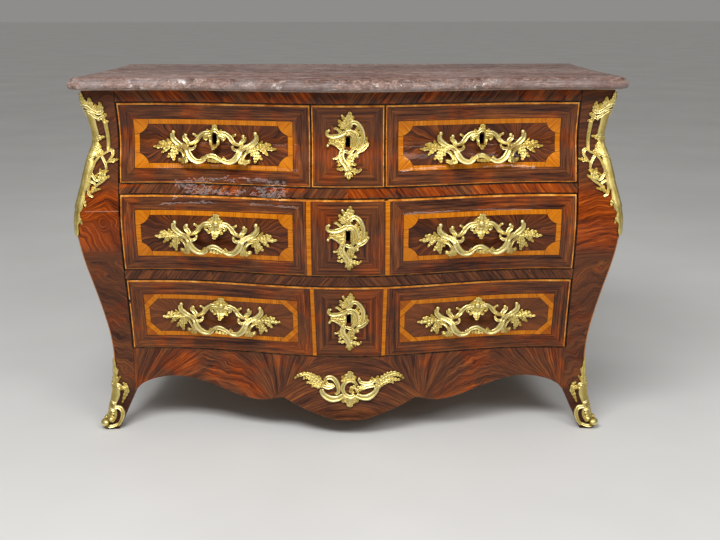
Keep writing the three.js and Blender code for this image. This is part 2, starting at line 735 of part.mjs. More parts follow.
// Carcass
const railBackAt = () => railBack;
const post = frontPost();
const rear = rearPost();
const side = sidePanel();
addPart('front_right_post', post, kingwood);
addPart('front_left_post', mirror(post), kingwood);
addPart('rear_right_post', rear, kingwood);
addPart('rear_left_post', mirror(rear), kingwood);
addPart('right_side_panel', side, kingwood);
addPart('left_side_panel', mirror(side), kingwood);

const railEnd = drawerHalf - seatGap;
const lockPlaces = [-handleAt, 0, handleAt];
const topRail = frontBoard(-railEnd, railEnd, rows.top[1], caseTop, railBackAt);
const upperRail = frontBoard(-railEnd, railEnd, rows.middle[1], rows.top[0], railBackAt);
const lowerRail = frontBoard(-railEnd, railEnd, rows.bottom[1], rows.middle[0], railBackAt);
addPart('top_rail', cut(topRail, ...lockPlaces.map((x) => mortise('top', x))), kingwood);
addPart('upper_rail', cut(upperRail, mortise('middle', 0)), kingwood);
addPart('lower_rail', cut(lowerRail, mortise('bottom', 0)), kingwood);
addPart('apron', apronPanel(), kingwood);

const straightEdge = [[-railEnd, railBack + seatGap], [railEnd, railBack + seatGap]];
const apronEdge = along(-railEnd, railEnd).map((x) => [
  x, frontY(x, rows.bottom[0] - boardThick) + apronThick + seatGap + frontGap,
]);
addPart('upper_dustboard', dustboard(rows.top[0], straightEdge), oak);
addPart('lower_dustboard', dustboard(rows.middle[0], straightEdge), oak);
addPart('bottom_board', dustboard(rows.bottom[0], apronEdge), oak);
addPart('back_panel', backPanel(), oak);
addPart('left_partition', partition(-dividerAt), oak);
addPart('right_partition', partition(dividerAt), oak);
addPart('marble_top', marbleTop(), marble);

// Drawers
addShortDrawer('top_left_drawer', -shortOuter, -shortInner, -handleAt);
addShortDrawer('top_centre_drawer', -centreHalf, centreHalf, 0);
addShortDrawer('top_right_drawer', shortInner, shortOuter, handleAt);
addWideDrawer('middle_drawer', 'middle');
addWideDrawer('bottom_drawer', 'bottom');

// Mounts
for (const [name, row] of [['top_centre_drawer', 'top'], ['middle_drawer', 'middle'], ['bottom_drawer', 'bottom']]) {
  addEscutcheon(name, row);
}
addHandle('top_left_drawer_handle', 'top', -handleAt, true);
addHandle('top_right_drawer_handle', 'top', handleAt, true);
for (const row of ['middle', 'bottom']) {
  addHandle(`${row}_drawer_left_handle`, row, -handleAt, false);
  addHandle(`${row}_drawer_right_handle`, row, handleAt, false);
}
const apronStrokes = [...apronMountStrokes, ...flipped(apronMountStrokes), ...apronCentreStrokes];
const apronMountHeight = (rows.bottom[0] + pendantLow) / 2;
addPart('apron_mount', geometryOf(hugging(apronStrokes, 0, apronMountHeight, 3 * postDepth, kneeHeight)), gilt);
const cornerMount = chute();
const shoe = sabot();
addPart('right_chute', cornerMount, gilt);
addPart('left_chute', mirror(cornerMount), gilt);
addPart('right_sabot', shoe, gilt);
addPart('left_sabot', mirror(shoe), gilt);

// The origin is at the middle of the footprint, on the floor
const extent = new THREE.Box3().setFromObject(commode);
const middle = extent.getCenter(new THREE.Vector3());
commode.position.set(-middle.x, -middle.y, -extent.min.z);

export default commode;
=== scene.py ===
import math

import bpy
import numpy as np
from mathutils import Matrix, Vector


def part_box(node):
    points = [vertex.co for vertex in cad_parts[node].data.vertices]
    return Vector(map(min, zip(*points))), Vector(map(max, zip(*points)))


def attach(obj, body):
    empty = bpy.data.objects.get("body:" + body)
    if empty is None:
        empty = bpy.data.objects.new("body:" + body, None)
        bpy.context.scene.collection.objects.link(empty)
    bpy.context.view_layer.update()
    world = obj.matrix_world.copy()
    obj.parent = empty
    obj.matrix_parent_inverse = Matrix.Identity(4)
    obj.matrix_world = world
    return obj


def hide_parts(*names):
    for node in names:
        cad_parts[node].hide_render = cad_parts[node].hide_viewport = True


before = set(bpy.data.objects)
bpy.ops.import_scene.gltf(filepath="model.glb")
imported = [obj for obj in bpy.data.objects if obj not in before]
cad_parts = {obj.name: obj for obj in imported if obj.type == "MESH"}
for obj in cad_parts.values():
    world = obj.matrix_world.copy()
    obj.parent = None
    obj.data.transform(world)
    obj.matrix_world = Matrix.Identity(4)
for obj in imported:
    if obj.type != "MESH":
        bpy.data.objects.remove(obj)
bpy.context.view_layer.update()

# The front posts are solid timber, tenoned to the rails, and run down in one piece into the splayed
# feet. They are veneered on both faces with swirling kingwood, which is fiery on the belly, and a
# light line is let in along the arris, between the corner mount and the shoe. Lengths are in metres.
case_top = 0.857
corner_half = 0.626
corner_radius = 0.014
back_y = 0.545
drawer_half = 0.548
post_depth = 0.070
foot_inner = 0.589
foot_depth = 0.040
knee = 0.091
side_knee = 0.134
arc_half = math.pi / 4 * corner_radius
# Where the solids' front datum lies in this frame: the back panel's outside is back_y behind it
front_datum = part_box("back_panel")[1].y - back_y


def smooth_curve(table, at):
    """A smooth line through a table of places and values, read at many places."""
    place = np.array([p for p, _ in table], float)
    value = np.array([v for _, v in table], float)
    slope = np.empty_like(value)
    slope[1:-1] = (value[2:] - value[:-2]) / (place[2:] - place[:-2])
    slope[0] = (value[1] - value[0]) / (place[1] - place[0])
    slope[-1] = (value[-1] - value[-2]) / (place[-1] - place[-2])
    at = np.asarray(at, float)
    k = np.clip(np.searchsorted(place, at), 1, len(place) - 1)
    span = place[k] - place[k - 1]
    u = (at - place[k - 1]) / span
    hold = 2 * u**3 - 3 * u**2 + 1
    turn = (u**3 - 2 * u**2 + u) * slope[k - 1] + (u**3 - u**2) * slope[k]
    return value[k - 1] * hold + value[k] * (1 - hold) + span * turn


def bulge(z):
    """How far the standing profile of the case swells out at a height, the same on every side."""
    belly_out = 0.029
    shares = [
        (0, 0), (0.105, -0.68), (0.2, -0.9), (0.28, -0.78), (0.36, -0.4), (0.44, 0.09), (0.53, 0.66),
        (0.61, 0.97), (0.66, 0.93), (0.74, 0.41), (0.8, -0.02), (0.86, -0.56), (0.92, -0.36), (0.97, 0.03),
        (1, 0.08),
    ]
    return belly_out * smooth_curve(shares, np.clip(np.asarray(z, float) / case_top, 0, 1))


def serpentine(x):
    """How far forward the plan of the front comes at a place along it."""
    swell, corner_rise, hollow_at = 0.072, 0.008, 0.4751
    reach = np.abs(np.asarray(x, float))
    wave = swell * (1 + np.cos(np.pi * np.minimum(reach, hollow_at) / hollow_at)) / 2 - corner_rise
    return wave + corner_rise * (np.maximum(reach - hollow_at, 0) / (corner_half - hollow_at)) ** 2


def side_x(y):
    """Half the width of the plan at a depth behind the front corner, before the profile is added."""
    side_hollow, back_narrow = 0.010, 0.018
    share = np.asarray(y, float) / back_y
    return corner_half - back_narrow * share - side_hollow * np.sin(np.pi * share)


def steps(start, stop, size):
    """Even stations from start to stop, about a size apart."""
    return np.linspace(start, stop, max(2, int(round(abs(stop - start) / size)) + 1))


def stacked(rings):
    """Points and faces of a closed body made of rings, one over another, with both ends closed."""
    rings = np.asarray(rings, float)
    levels, count = rings.shape[:2]
    faces = []
    for k in range(levels - 1):
        for i in range(count):
            j = (i + 1) % count
            faces.append((k * count + i, k * count + j, (k + 1) * count + j, (k + 1) * count + i))
    faces.append(tuple(reversed(range(count))))
    faces.append(tuple(range((levels - 1) * count, levels * count)))
    return rings.reshape(levels * count, -1), faces


def mirrored(points, faces):
    return np.asarray(points, float) * (-1, 1, 1), [tuple(reversed(face)) for face in faces]


def smoothed(mesh, sharp=40):
    """Smooth shading, but for the edges sharper than an angle in degrees."""
    mesh.shade_smooth()
    mesh.set_sharp_from_angle(angle=math.radians(sharp))


def eased(piece, width=0.0006):
    """Takes the sharpness off a piece's edges, as sandpaper and years do."""
    ease = piece.modifiers.new("eased edges", "BEVEL")
    ease.width = width
    ease.segments = 2
    ease.limit_method = "ANGLE"
    ease.angle_limit = math.radians(55)
    ease.harden_normals = True


def new_piece(name, points, faces, material, sharp=40, edge=0.0006):
    """A mesh in the shared frame, smooth but for its sharp edges, which are slightly eased."""
    mesh = bpy.data.meshes.new(name)
    mesh.from_pydata([tuple(p) for p in points], [], faces)
    mesh.update()
    mesh.materials.append(material)
    smoothed(mesh, sharp)
    piece = bpy.data.objects.new(name, mesh)
    bpy.context.scene.collection.objects.link(piece)
    if edge:
        eased(piece, edge)
    return piece


def stored(piece, **numbers):
    """Keeps numbers on the mesh's points, for the material to read."""
    for label, values in numbers.items():
        kept = piece.data.attributes.new(label, "FLOAT", "POINT").data
        kept.foreach_set("value", np.array(values, np.float32))


def math_node(operation):
    return lambda self, *others: self.made(operation, *others)


class Value:
    """A number that varies over a surface. Sums and products of values become shader nodes."""

    def __init__(self, shader, socket):
        self.shader = shader
        self.socket = socket

    def made(self, operation, *others):
        node = self.shader.node("Math")
        node.operation = operation
        for slot, given in zip(node.inputs, (self, *others)):
            self.shader.feed(slot, given)
        return Value(self.shader, node.outputs[0])

    __add__ = math_node("ADD")
    __sub__ = math_node("SUBTRACT")
    __mul__ = math_node("MULTIPLY")
    size = math_node("ABSOLUTE")
    least = math_node("MINIMUM")
    most = math_node("MAXIMUM")
    above = math_node("GREATER_THAN")
    below = math_node("LESS_THAN")
    power = math_node("POWER")
    angle = math_node("ARCTAN2")
    whole = math_node("FLOOR")

    def __neg__(self):
        return self * -1.0

    def __rsub__(self, other):
        return -self + other

    def spread(self, factor):
        """The same streaks with more contrast about their middle."""
        return self * factor + (1 - factor) * 0.5

    def toward(self, other, share):
        """This value where share is 0, the other where it is 1."""
        return self * (1.0 - share) + other * share

    def rise(self, low, high):
        """0 below low, 1 above high, and smooth between."""
        node = self.shader.node("MapRange", From_Min=low, From_Max=high, Value=self)
        node.interpolation_type = "SMOOTHSTEP"
        return Value(self.shader, node.outputs["Result"])


class Shader:
    """One material under construction, and the patterns that its pieces are drawn with."""

    def __init__(self, name, kind=bpy.data.materials, surface="Principled BSDF"):
        self.material = kind.new(name)
        self.material.use_nodes = True
        self.tree = self.material.node_tree
        self.surface = self.tree.nodes[surface]

    def feed(self, slot, given):
        """Gives a node's input a number, a colour or the output of another node."""
        given = given.socket if isinstance(given, Value) else given
        if isinstance(given, bpy.types.NodeSocket):
            self.tree.links.new(given, slot)
        else:
            slot.default_value = (*given, 1.0) if isinstance(given, tuple) else given

    def node(self, kind, **inputs):
        made = self.tree.nodes.new("ShaderNode" + kind)
        for name, given in inputs.items():
            self.feed(made.inputs[name.replace("_", " ")], given)
        return made

    def parts(self, output="Object"):
        """The x, y and z of where a point of the surface is, or of another output of its kind."""
        split = self.node("SeparateXYZ", Vector=self.node("TexCoord").outputs[output])
        return [Value(self, part) for part in split.outputs]

    def stored(self, name):
        """A number kept on the mesh's points."""
        node = self.node("Attribute")
        node.attribute_name = name
        return Value(self, node.outputs["Fac"])

    def noise(self, x, y, z, scale=1.0, detail=4.0, rough=0.6, swirl=0.0):
        where = self.node("CombineXYZ", X=x, Y=y, Z=z).outputs[0]
        node = self.node(
            "TexNoise", Scale=scale, Detail=detail, Roughness=rough, Distortion=swirl, Vector=where
        )
        return Value(self, node.outputs["Fac"])

    def tones(self, value, stops):
        """A colour for each level of a value; between two levels the colours blend."""
        node = self.node("ValToRGB", Fac=value)
        bar = node.color_ramp.elements
        while len(bar) < len(stops):
            bar.new(1.0)
        for element, (level, colour) in zip(bar, stops):
            element.position = level
            element.color = (*colour, 1.0)
        return node.outputs[0]

    def blended(self, share, first, second):
        node = self.node("Mix")
        node.data_type = "RGBA"
        # The colour inputs of this node come seventh and eighth, after those for other data
        for slot, given in ((0, share), (6, first), (7, second)):
            self.feed(node.inputs[slot], given)
        return node.outputs[2]

    def layered(self, colour, *layers):
        """A colour with others laid over it in turn, each given as its share and its colour."""
        for share, tone in layers:
            colour = self.blended(share, colour, tone)
        return colour

    def bumped(self, relief, depth, socket):
        bump = self.node("Bump", Distance=depth, Strength=1.0, Height=relief)
        self.feed(self.surface.inputs[socket], bump.outputs[0])

    def finish(self, colour, roughness, relief=None, depth=0.0002, **others):
        """Completes the material; others are further inputs of its shader."""
        for name, given in {"Base_Color": colour, "Roughness": roughness, **others}.items():
            self.feed(self.surface.inputs[name.replace("_", " ")], given)
        if relief is not None:
            self.bumped(relief, depth, "Normal")
        return self.material


# Kingwood is a dark purple brown with fine orange and near-black streaks along the grain. Each table
# gives the colour of a streak by how light it is, for quiet and for fiery sheets.
dark_tones = [
    (0.32, (0.018, 0.0066, 0.0045)), (0.43, (0.060, 0.0210, 0.0110)), (0.52, (0.116, 0.038, 0.0155)),
    (0.61, (0.200, 0.060, 0.0165)), (0.74, (0.35, 0.110, 0.024)),
]
rich_tones = [
    (0.32, (0.030, 0.0072, 0.0030)), (0.42, (0.112, 0.0200, 0.0040)), (0.51, (0.230, 0.037, 0.0036)),
    (0.60, (0.38, 0.070, 0.005)), (0.72, (0.54, 0.135, 0.014)),
]
oak_tones = [(0.30, (0.17, 0.095, 0.042)), (0.50, (0.34, 0.20, 0.095)), (0.72, (0.46, 0.30, 0.16))]
# The dark of the glue lines between pieces of veneer; the same colour is used as painted shade for the gaps
# round the drawers
glue_and_gap_shade = (0.010, 0.004, 0.003)


def grain(shader, along, across, seed, wild=0.35):
    """Streaks of a sheet of veneer: how light each one is."""
    broad = shader.noise(along * 5.0, across * 38.0, seed, detail=2, swirl=wild)
    streaks = shader.noise(along * 7.0, across * 190.0, seed + 3.0, detail=5, rough=0.72, swirl=wild)
    fine = shader.noise(along * 30.0, across * 620.0, seed, detail=3, rough=0.65)
    return (broad * 0.24 + streaks * 0.50 + fine * 0.26).spread(1.6)


def kingwood(shader, fire, streak):
    """The colour of a streak, from the quiet table where fire is 0 to the fiery one where it is 1."""
    return shader.blended(fire, shader.tones(streak, dark_tones), shader.tones(streak, rich_tones))


def polished(shader, colour, streak):
    """French polish over veneer: worn a little on the arrises that hands and cloths rub, bare oak
    behind, and faintly rippled, so that what it mirrors breaks up."""
    rubbed_wood, polish_coat = (0.33, 0.14, 0.045), 0.20
    x, y, z = shader.parts()
    wear = shader.noise(x, y, z, scale=9.0, detail=3)
    arris = Value(shader, shader.node("NewGeometry").outputs["Pointiness"]).rise(0.51, 0.58)
    rubbed = arris * shader.noise(x, y, z, scale=70.0, detail=3).rise(0.42, 0.6) * 0.55
    colour = shader.blended(rubbed, colour, rubbed_wood)
    behind = shader.parts("Normal")[1].rise(0.30, 0.36)
    plank = shader.noise(x * 3.0, y * 3.0, z * 60.0, detail=5, rough=0.6, swirl=0.4)
    colour = shader.blended(behind, colour, shader.tones(plank, oak_tones))
    shader.bumped(shader.noise(x, y, z, scale=36.0, detail=2), 0.00022, "Coat Normal")
    return shader.finish(
        colour, wear * 0.12 + 0.27 + behind * 0.4, streak, 0.00012,
        Specular_IOR_Level=0.06, Coat_Weight=polish_coat, Coat_Roughness=0.03,
    )


def swirl_veneer():
    """The left post has a small knot on the belly under an arch of figure; the right post's grain
    lies across it in low arcs. Both are fiery on the belly and quiet below."""
    stringing, bare_foot, old_crack = (0.62, 0.22, 0.030), (0.040, 0.015, 0.010), (0.50, 0.34, 0.24)
    belly, knot_at, line_half, line_low, line_high = 0.545, 0.063, 0.0028, 0.16, 0.505
    post_gap_shade_wide, joint_low = 0.0022, 0.209
    shader = Shader("post veneer")
    _, _, z = shader.parts()
    p = shader.stored("round")
    side = shader.stored("hand")
    left = side.below(0.0)
    warp = shader.noise(p * 16.0, z * 16.0, side, detail=2) - 0.5
    off = p - knot_at
    up = z - belly
    knot = (off * off * 1.7 + up * up).power(0.5) + warp * 0.010
    arch = up + off.size() * 0.55 + warp * 0.030
    fall = off * 0.9 + up * 0.35 + warp * 0.045
    flow = fall.toward(arch, up.rise(-0.012, 0.012)).toward(knot, knot.rise(0.030, 0.012))
    arcs = z + (p - 0.02) * (p - 0.02) * 2.2 + warp * 0.022
    low_flow = z * 0.75 + p * 0.5 + warp * 0.075
    across = low_flow.toward(arcs.toward(flow, left), z.rise(0.445, 0.475))
    streak = grain(shader, p * 1.2 + z * 0.2, across, side + 2.0, wild=0.7)
    fiery = z.rise(0.455, 0.50) * (1.0 - z.rise(0.60, 0.65))
    glow = shader.noise(p * 12.0, z * 16.0, side + 4.0, detail=2).rise(0.50, 0.64)
    streak = (streak - 0.5) * (fiery * 0.25 + 0.75) + 0.5
    line = (p + 0.002).size().below(line_half) * z.below(line_high) * z.above(line_low)
    crack = (z - 0.572 + warp * 0.004).size().below(0.0007) * left * p.above(0.02)
    # Painted shade: the dark line along the post's inner edge, on the front above the apron, stands for the
    # shadow in the gap beside the drawers; where the rails meet the post it is also their joint
    joint_and_gap_shade = shader.stored("inner").below(post_gap_shade_wide) * z.above(joint_low) * p.above(0.0)
    colour = shader.layered(
        kingwood(shader, fiery.most(glow * 0.45), streak),
        ((1.0 - z.rise(0.092, 0.112)) * 0.8, bare_foot),
        (line, stringing),
        (crack * 0.5, old_crack),
        (joint_and_gap_shade, glue_and_gap_shade),
    )
    return polished(shader, colour, streak)


def corner_point(p, z, off=0.0):
    """A point on the corner of the case, at a distance p from the middle of the arris, measured
    round the corner, positive on the front and negative on the side."""
    out = float(bulge(z))
    cx = corner_half - corner_radius + out
    cy = corner_radius - out
    if abs(p) <= arc_half:
        turn = math.radians(-45) - p / corner_radius
        r = corner_radius + off
        return np.array([cx + r * math.cos(turn), front_datum + cy + r * math.sin(turn), z])
    beyond = abs(p) - arc_half
    if p > 0:
        share = beyond / (cx - drawer_half)
        y = (-out) * (1 - share) + (-float(serpentine(drawer_half)) - out) * share
        return np.array([cx - beyond, front_datum + y - off, z])
    share = beyond / (post_depth - cy)
    x = (corner_half + out) * (1 - share) + (float(side_x(post_depth)) + out) * share
    return np.array([x + off, front_datum + cy + beyond, z])


post_veneer = swirl_veneer()
rings, rounds, inners = [], [], []
for z in steps(0, case_top, 0.007):
    out = float(bulge(z))
    x_in = foot_inner + (drawer_half - foot_inner) * min(1, z / knee)
    y_in = foot_depth + (post_depth - foot_depth) * min(1, z / side_knee)
    front_run = corner_half - corner_radius + out - x_in + arc_half
    side_run = y_in - (corner_radius - out) + arc_half
    ps = np.concatenate([
        [front_run, front_run - min(0.004, (front_run - arc_half) / 12)],
        np.linspace(front_run, arc_half, 7)[1:-1],
        np.linspace(arc_half, -arc_half, 9), np.linspace(-arc_half, -side_run, 7)[1:],
    ])
    rings.append([corner_point(p, z) for p in ps] + [np.array([x_in, front_datum + y_in, z])])
    rounds.extend([*ps, -side_run])
    # The inner corner behind is far from the gap beside the drawers, so it gets none of the painted gap shade
    inners.extend([*(front_run - ps), 0.1])
right = stacked(rings)
for name, hand, shape in (("front_right_post", 1.0, right), ("front_left_post", -1.0, mirrored(*right))):
    piece = new_piece(name + "_veneer", *shape, post_veneer)
    stored(piece, round=rounds, hand=[hand] * len(rounds), inner=inners)
    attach(piece, "case")
    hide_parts(name)

# The rear posts are like the front ones, but square behind, where the back is let in between them.
# Their feet are splayed to the side only.
rear_depth = 0.050
rear_inner = 0.515
rear_foot_inner = 0.567
rings, rounds = [], []
for z in steps(0, case_top, 0.008):
    share = max(0.0, 1 - z / side_knee)
    x_in = rear_inner + (rear_foot_inner - rear_inner) * share
    y_in = back_y - rear_depth + (rear_depth - foot_depth) * share
    outer = [(float(side_x(y)) + float(bulge(z)), y, z) for y in np.linspace(y_in, back_y, 6)]
    ring = [(x_in, y_in, z), *outer, (x_in, back_y, z)]
    rings.append([(x, front_datum + y, z) for x, y, z in ring])
    rounds.extend(0.03 + 0.1 * (back_y - y) for _, y, _ in ring)
right = stacked(rings)
for name, hand, shape in (("rear_right_post", 1.0, right), ("rear_left_post", -1.0, mirrored(*right))):
    piece = new_piece(name + "_veneer", *shape, post_veneer)
    stored(piece, round=rounds, hand=[hand] * len(rounds), inner=[0.1] * len(rounds))
    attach(piece, "case")
    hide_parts(name)

# The sides are swelling boards with an arched lower edge, tongued between the posts. Each has a
# sheet quartered to a lozenge in the middle, an orange band round it and a mitred kingwood frame.
seat = 0.0003
side_arch_rise = 0.042
side_front = post_depth + seat
side_rear = back_y - rear_depth - seat
side_middle = (side_front + side_rear) / 2
band_wide = 0.0125
# Tulipwood, used for bands and corner pieces, is orange
orange_tones = [(0.28, (0.29, 0.068, 0.003)), (0.46, (0.50, 0.140, 0.004)), (0.68, (0.72, 0.255, 0.012))]
reserve_tones = [
    (0.32, (0.018, 0.0062, 0.0038)), (0.43, (0.056, 0.0165, 0.0072)), (0.52, (0.110, 0.0290, 0.0085)),
    (0.61, (0.21, 0.052, 0.0105)), (0.74, (0.37, 0.105, 0.018)),
]


def mitred(shader, aside, above, x, z, seed):
    """Veneer laid round a frame with its grain along each side; aside and above are the
    distances to the nearest side edge and to the nearest top or bottom edge."""
    on_side = aside.below(above)
    depth = aside.least(above)
    return grain(shader, x.toward(z, on_side), depth, on_side * 3.0 + seed, wild=0.5), depth


def side_veneer():
    frame_low, frame_wide, lozenge = 0.165, 0.06, 0.51
    shader = Shader("side veneer")
    _, y, z = shader.parts()
    front = y - (front_datum + side_front)
    rear = (front_datum + side_rear) - y
    streak, depth = mitred(shader, front.least(rear), (z - frame_low).least(case_top - z), y, z, 60.0)
    inner = depth - frame_wide
    back = (y - (front_datum + side_middle)).size()
    up = (z - lozenge).size()
    quarter = (z - lozenge).above(0.0) * 3.0 + 70.0
    middle = grain(shader, back * 0.7 - up * 0.7, back * 0.7 + up * 0.7, quarter, wild=0.6)
    band = grain(shader, inner * 2.0, (y + z) * 2.2, 80.0)
    colour = shader.layered(
        shader.tones(streak, dark_tones),
        (inner.above(0.0), shader.tones(band, orange_tones)),
        (inner.above(band_wide), shader.tones(middle, reserve_tones)),
    )
    return polished(shader, colour, streak)


rings = []
for y in steps(side_front, side_rear, 0.008):
    along = (y - side_middle) / ((side_rear - side_front) / 2)
    zs = np.linspace(knee + side_arch_rise * math.sqrt(max(0, 1 - along**2)), case_top, 90)
    face = np.stack([side_x(y) + bulge(zs), np.full_like(zs, front_datum + y), zs], 1)
    back = np.stack([np.full(2, drawer_half + seat), np.full(2, front_datum + y), zs[[-1, 0]]], 1)
    rings.append(np.concatenate([face, back])[::-1])
points, faces = stacked(rings)
right = points, [tuple(reversed(face)) for face in faces]
side_sheet = side_veneer()
for name, shape in (("right_side_panel", right), ("left_side_panel", mirrored(*right))):
    piece = new_piece(name + "_veneer", *shape, side_sheet)
    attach(piece, "case")
    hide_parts(name)

# The rails between the drawers are tenoned to the posts and mortised below for the bolts of the
# locks. Their kingwood is laid slanting: the top rail's grain leans outward going up, that of the
# two lower rails inward.
row_heights = {"top": (0.637, 0.827), "middle": (0.424, 0.611), "bottom": (0.209, 0.396)}
rail_deep = 0.060
rail_back = front_datum + rail_deep
rail_end = drawer_half - seat


def front_y(x, z):
    return front_datum - serpentine(x) - bulge(z)


def front_board(x0, x1, z0, z1, back_at):
    """A board whose face follows the front of the case."""
    across_step, up_step = 0.008, 0.007
    xs = steps(x0, x1, across_step)
    rings = []
    for z in steps(z0, z1, up_step):
        face = np.stack([xs, front_y(xs, z), np.full_like(xs, z)], 1)
        back = np.stack([xs, back_at(xs), np.full_like(xs, z)], 1)[::-1]
        rings.append(np.concatenate([face, back]))
    return stacked(rings)


def block(low, high):
    """A plain block between two corners."""
    (x0, y0, z0), (x1, y1, z1) = low, high
    return stacked([[(x0, y0, z), (x1, y0, z), (x1, y1, z), (x0, y1, z)] for z in (z0, z1)])


def cut_out(piece, tools):
    """Cuts closed shapes out of a piece whose edges are not eased yet."""
    for points, faces in tools:
        mesh = bpy.data.meshes.new("cutter")
        mesh.from_pydata([tuple(p) for p in points], [], faces)
        cutter = bpy.data.objects.new("cutter", mesh)
        bpy.context.scene.collection.objects.link(cutter)
        cut = piece.modifiers.new("cut", "BOOLEAN")
        cut.operation = "DIFFERENCE"
        cut.object = cutter
        cut.solver = "EXACT"
        bpy.context.view_layer.update()
        cut_piece = piece.evaluated_get(bpy.context.evaluated_depsgraph_get())
        shaped = bpy.data.meshes.new_from_object(cut_piece)
        piece.modifiers.clear()
        piece.data = shaped
        bpy.data.objects.remove(cutter)
    smoothed(piece.data)


def slanting_veneer():
    top_rail_low, rail_gap_shade_wide = 0.7, 0.0026
    shader = Shader("rail veneer")
    x, _, z = shader.parts()
    reach = x.size()
    on_top = z.above(top_rail_low)
    lean = on_top * 2.0 - 1.0
    along = reach * 0.62 * lean + z * 0.78
    across = reach * 0.78 - z * 0.62 * lean
    sheet = (reach * 9.0 + on_top * 0.4).whole()
    bow = shader.noise(along * 9.0, across * 12.0, sheet, detail=1) * 0.010
    streak = grain(shader, along, across + bow, sheet * 1.7 + x.above(0.0) * 4.0, wild=0.5)
    glow = shader.noise(x * 13.0, z * 20.0, 2.0, detail=2).rise(0.46, 0.60) * z.rise(0.40, 0.62)
    # Painted shade: a dark line along each rail edge next to a drawer stands for the shadow in the gap round
    # it
    gap_shade = 1.0
    for edge in sorted(sum(row_heights.values(), ()))[1:]:
        gap_shade = (z - edge).size().least(gap_shade)
    colour = shader.blended(gap_shade.below(rail_gap_shade_wide), kingwood(shader, glow, streak), glue_and_gap_shade)
    return polished(shader, colour, streak)


rail_veneer = slanting_veneer()
play, mortise_deep, overrun = 0.0012, 0.0095, 0.02
for name, low, high, drawers in (
    ("top_rail", row_heights["top"][1], case_top, ("top_left_", "top_centre_", "top_right_")),
    ("upper_rail", row_heights["middle"][1], row_heights["top"][0], ("middle_",)),
    ("lower_rail", row_heights["bottom"][1], row_heights["middle"][0], ("bottom_",)),
):
    board = front_board(-rail_end, rail_end, low, high, lambda xs: np.full_like(xs, rail_back))
    piece = new_piece(name + "_veneer", *board, rail_veneer, edge=0)
    mortises = []
    for drawer in drawers:
        (x0, y0, _), (x1, y1, _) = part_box(drawer + "drawer_bolt")
        corners = (x0 - play, y0 - play, low - overrun), (x1 + play, y1 + play, low + mortise_deep)
        mortises.append(block(*corners))
    cut_out(piece, mortises)
    eased(piece)
    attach(piece, "case")
    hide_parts(name)

# The apron is one board with two arches and a middle pendant, tenoned between the posts below the
# bottom drawer. It is faced with large flaming figures that are matched about the middle: a fan
# rises from beside the pendant and another from the foot, and a dark lens lies between.
apron_top = row_heights["bottom"][0]
apron_thick = 0.030
cusp = 0.304
apron_shares = [
    (0, 0.505), (0.07, 0.53), (0.138, 0.64), (0.228, 0.84), (cusp, 1.07), (0.399, 0.945), (0.504, 1.02),
    (0.618, 1.24), (0.712, 1.4), (0.799, 1.47), (0.893, 1.41), (0.963, 1.25), (1.0055, 1),
]


def apron_low(x):
    """Height of the apron's lower edge; the two cusps beside the pendant stay sharp."""
    share = abs(x) / drawer_half
    arm = [p for p in apron_shares if (p[0] <= cusp if share < cusp else p[0] >= cusp)]
    return knee * float(smooth_curve(arm, share))


def flame_veneer():
    # Each fan's middle, out and up, and how close its rays lie
    fans = ((0.172, 0.070, 0.11), (0.545, 0.085, 0.17))
    apron_gap_shade_wide = 0.0022
    shader = Shader("apron veneer")
    x, _, z = shader.parts()
    hand = x.above(0.0)
    reach = x.size() + shader.noise(x * 6.0, z * 6.0, 9.0, detail=2) * 0.030 - 0.015
    height = z + shader.noise(x * 7.0, z * 7.0, 4.0, detail=2) * 0.030 - 0.015
    sheets = []
    for out, up, squeeze in fans:
        aside, above = reach - out, height - up
        far = (aside * aside + above * above).power(0.5)
        sheets.append(grain(shader, far, above.angle(aside) * squeeze, hand * 3.0 + out * 9.0, wild=0.6))
    bend = (reach - 0.31) * (reach - 0.31) * 3.4
    curl = shader.noise(reach * 17.0, height * 17.0, 3.0, detail=2) * 0.040
    winding = (height - reach * 0.35 + bend) * 0.8 + curl
    swirl = grain(shader, reach * 0.7, winding, hand * 3.0 + 12.0, wild=0.9)
    streak = sheets[0].toward(swirl, reach.rise(0.215, 0.255)).toward(sheets[1], reach.rise(0.345, 0.40))
    rim = x.size() + z * 1.02 - 0.287
    lens = grain(shader, x, z + x * x * 2.4, 5.0, wild=0.5)
    streak = lens.toward(streak, rim.rise(-0.001, 0.001))
    glow = shader.noise(x * 11.0, z * 10.0, 1.0, detail=2).rise(0.44, 0.66)
    colour = kingwood(shader, glow * (rim.rise(-0.002, 0.002) * 0.8 + 0.1), streak)
    # Painted shade: a dark line along the apron's top edge stands for the shadow in the gap under the bottom
    # drawer
    gap_shade = (z - apron_top).size().below(apron_gap_shade_wide)
    return polished(shader, shader.blended(gap_shade, colour, glue_and_gap_shade), streak)


rings = []
for x in steps(-rail_end, rail_end, 0.006):
    zs = np.linspace(apron_low(x), apron_top, 18)
    face = np.stack([np.full_like(zs, x), front_y(x, zs), zs], 1)
    back = (face + (0, apron_thick, 0))[::-1]
    rings.append(np.concatenate([face, back])[::-1])
piece = new_piece("apron_veneer", *stacked(rings), flame_veneer(), edge=0.001)
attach(piece, "case")
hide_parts("apron")


# The unseen timber is plain oak, in the boards, the back, and the drawers' boxes, and the locks are
# of dark iron. These pieces keep the shape of their solids and only get their material here.
def oak_timber(name, axis):
    shader = Shader(name)
    x, y, z = shader.parts()
    along, across, rest = {"x": (x, z, y), "y": (y, z, x), "flat": (x, y, z)}[axis]
    broad = shader.noise(along * 3.0, across * 60.0, rest * 3.0, detail=5, rough=0.6, swirl=0.4)
    pores = shader.noise(along * 30.0, across * 900.0, rest * 20.0, detail=2)
    return shader.finish(shader.tones(broad * 0.7 + pores * 0.3, oak_tones), pores * 0.2 + 0.6, pores)


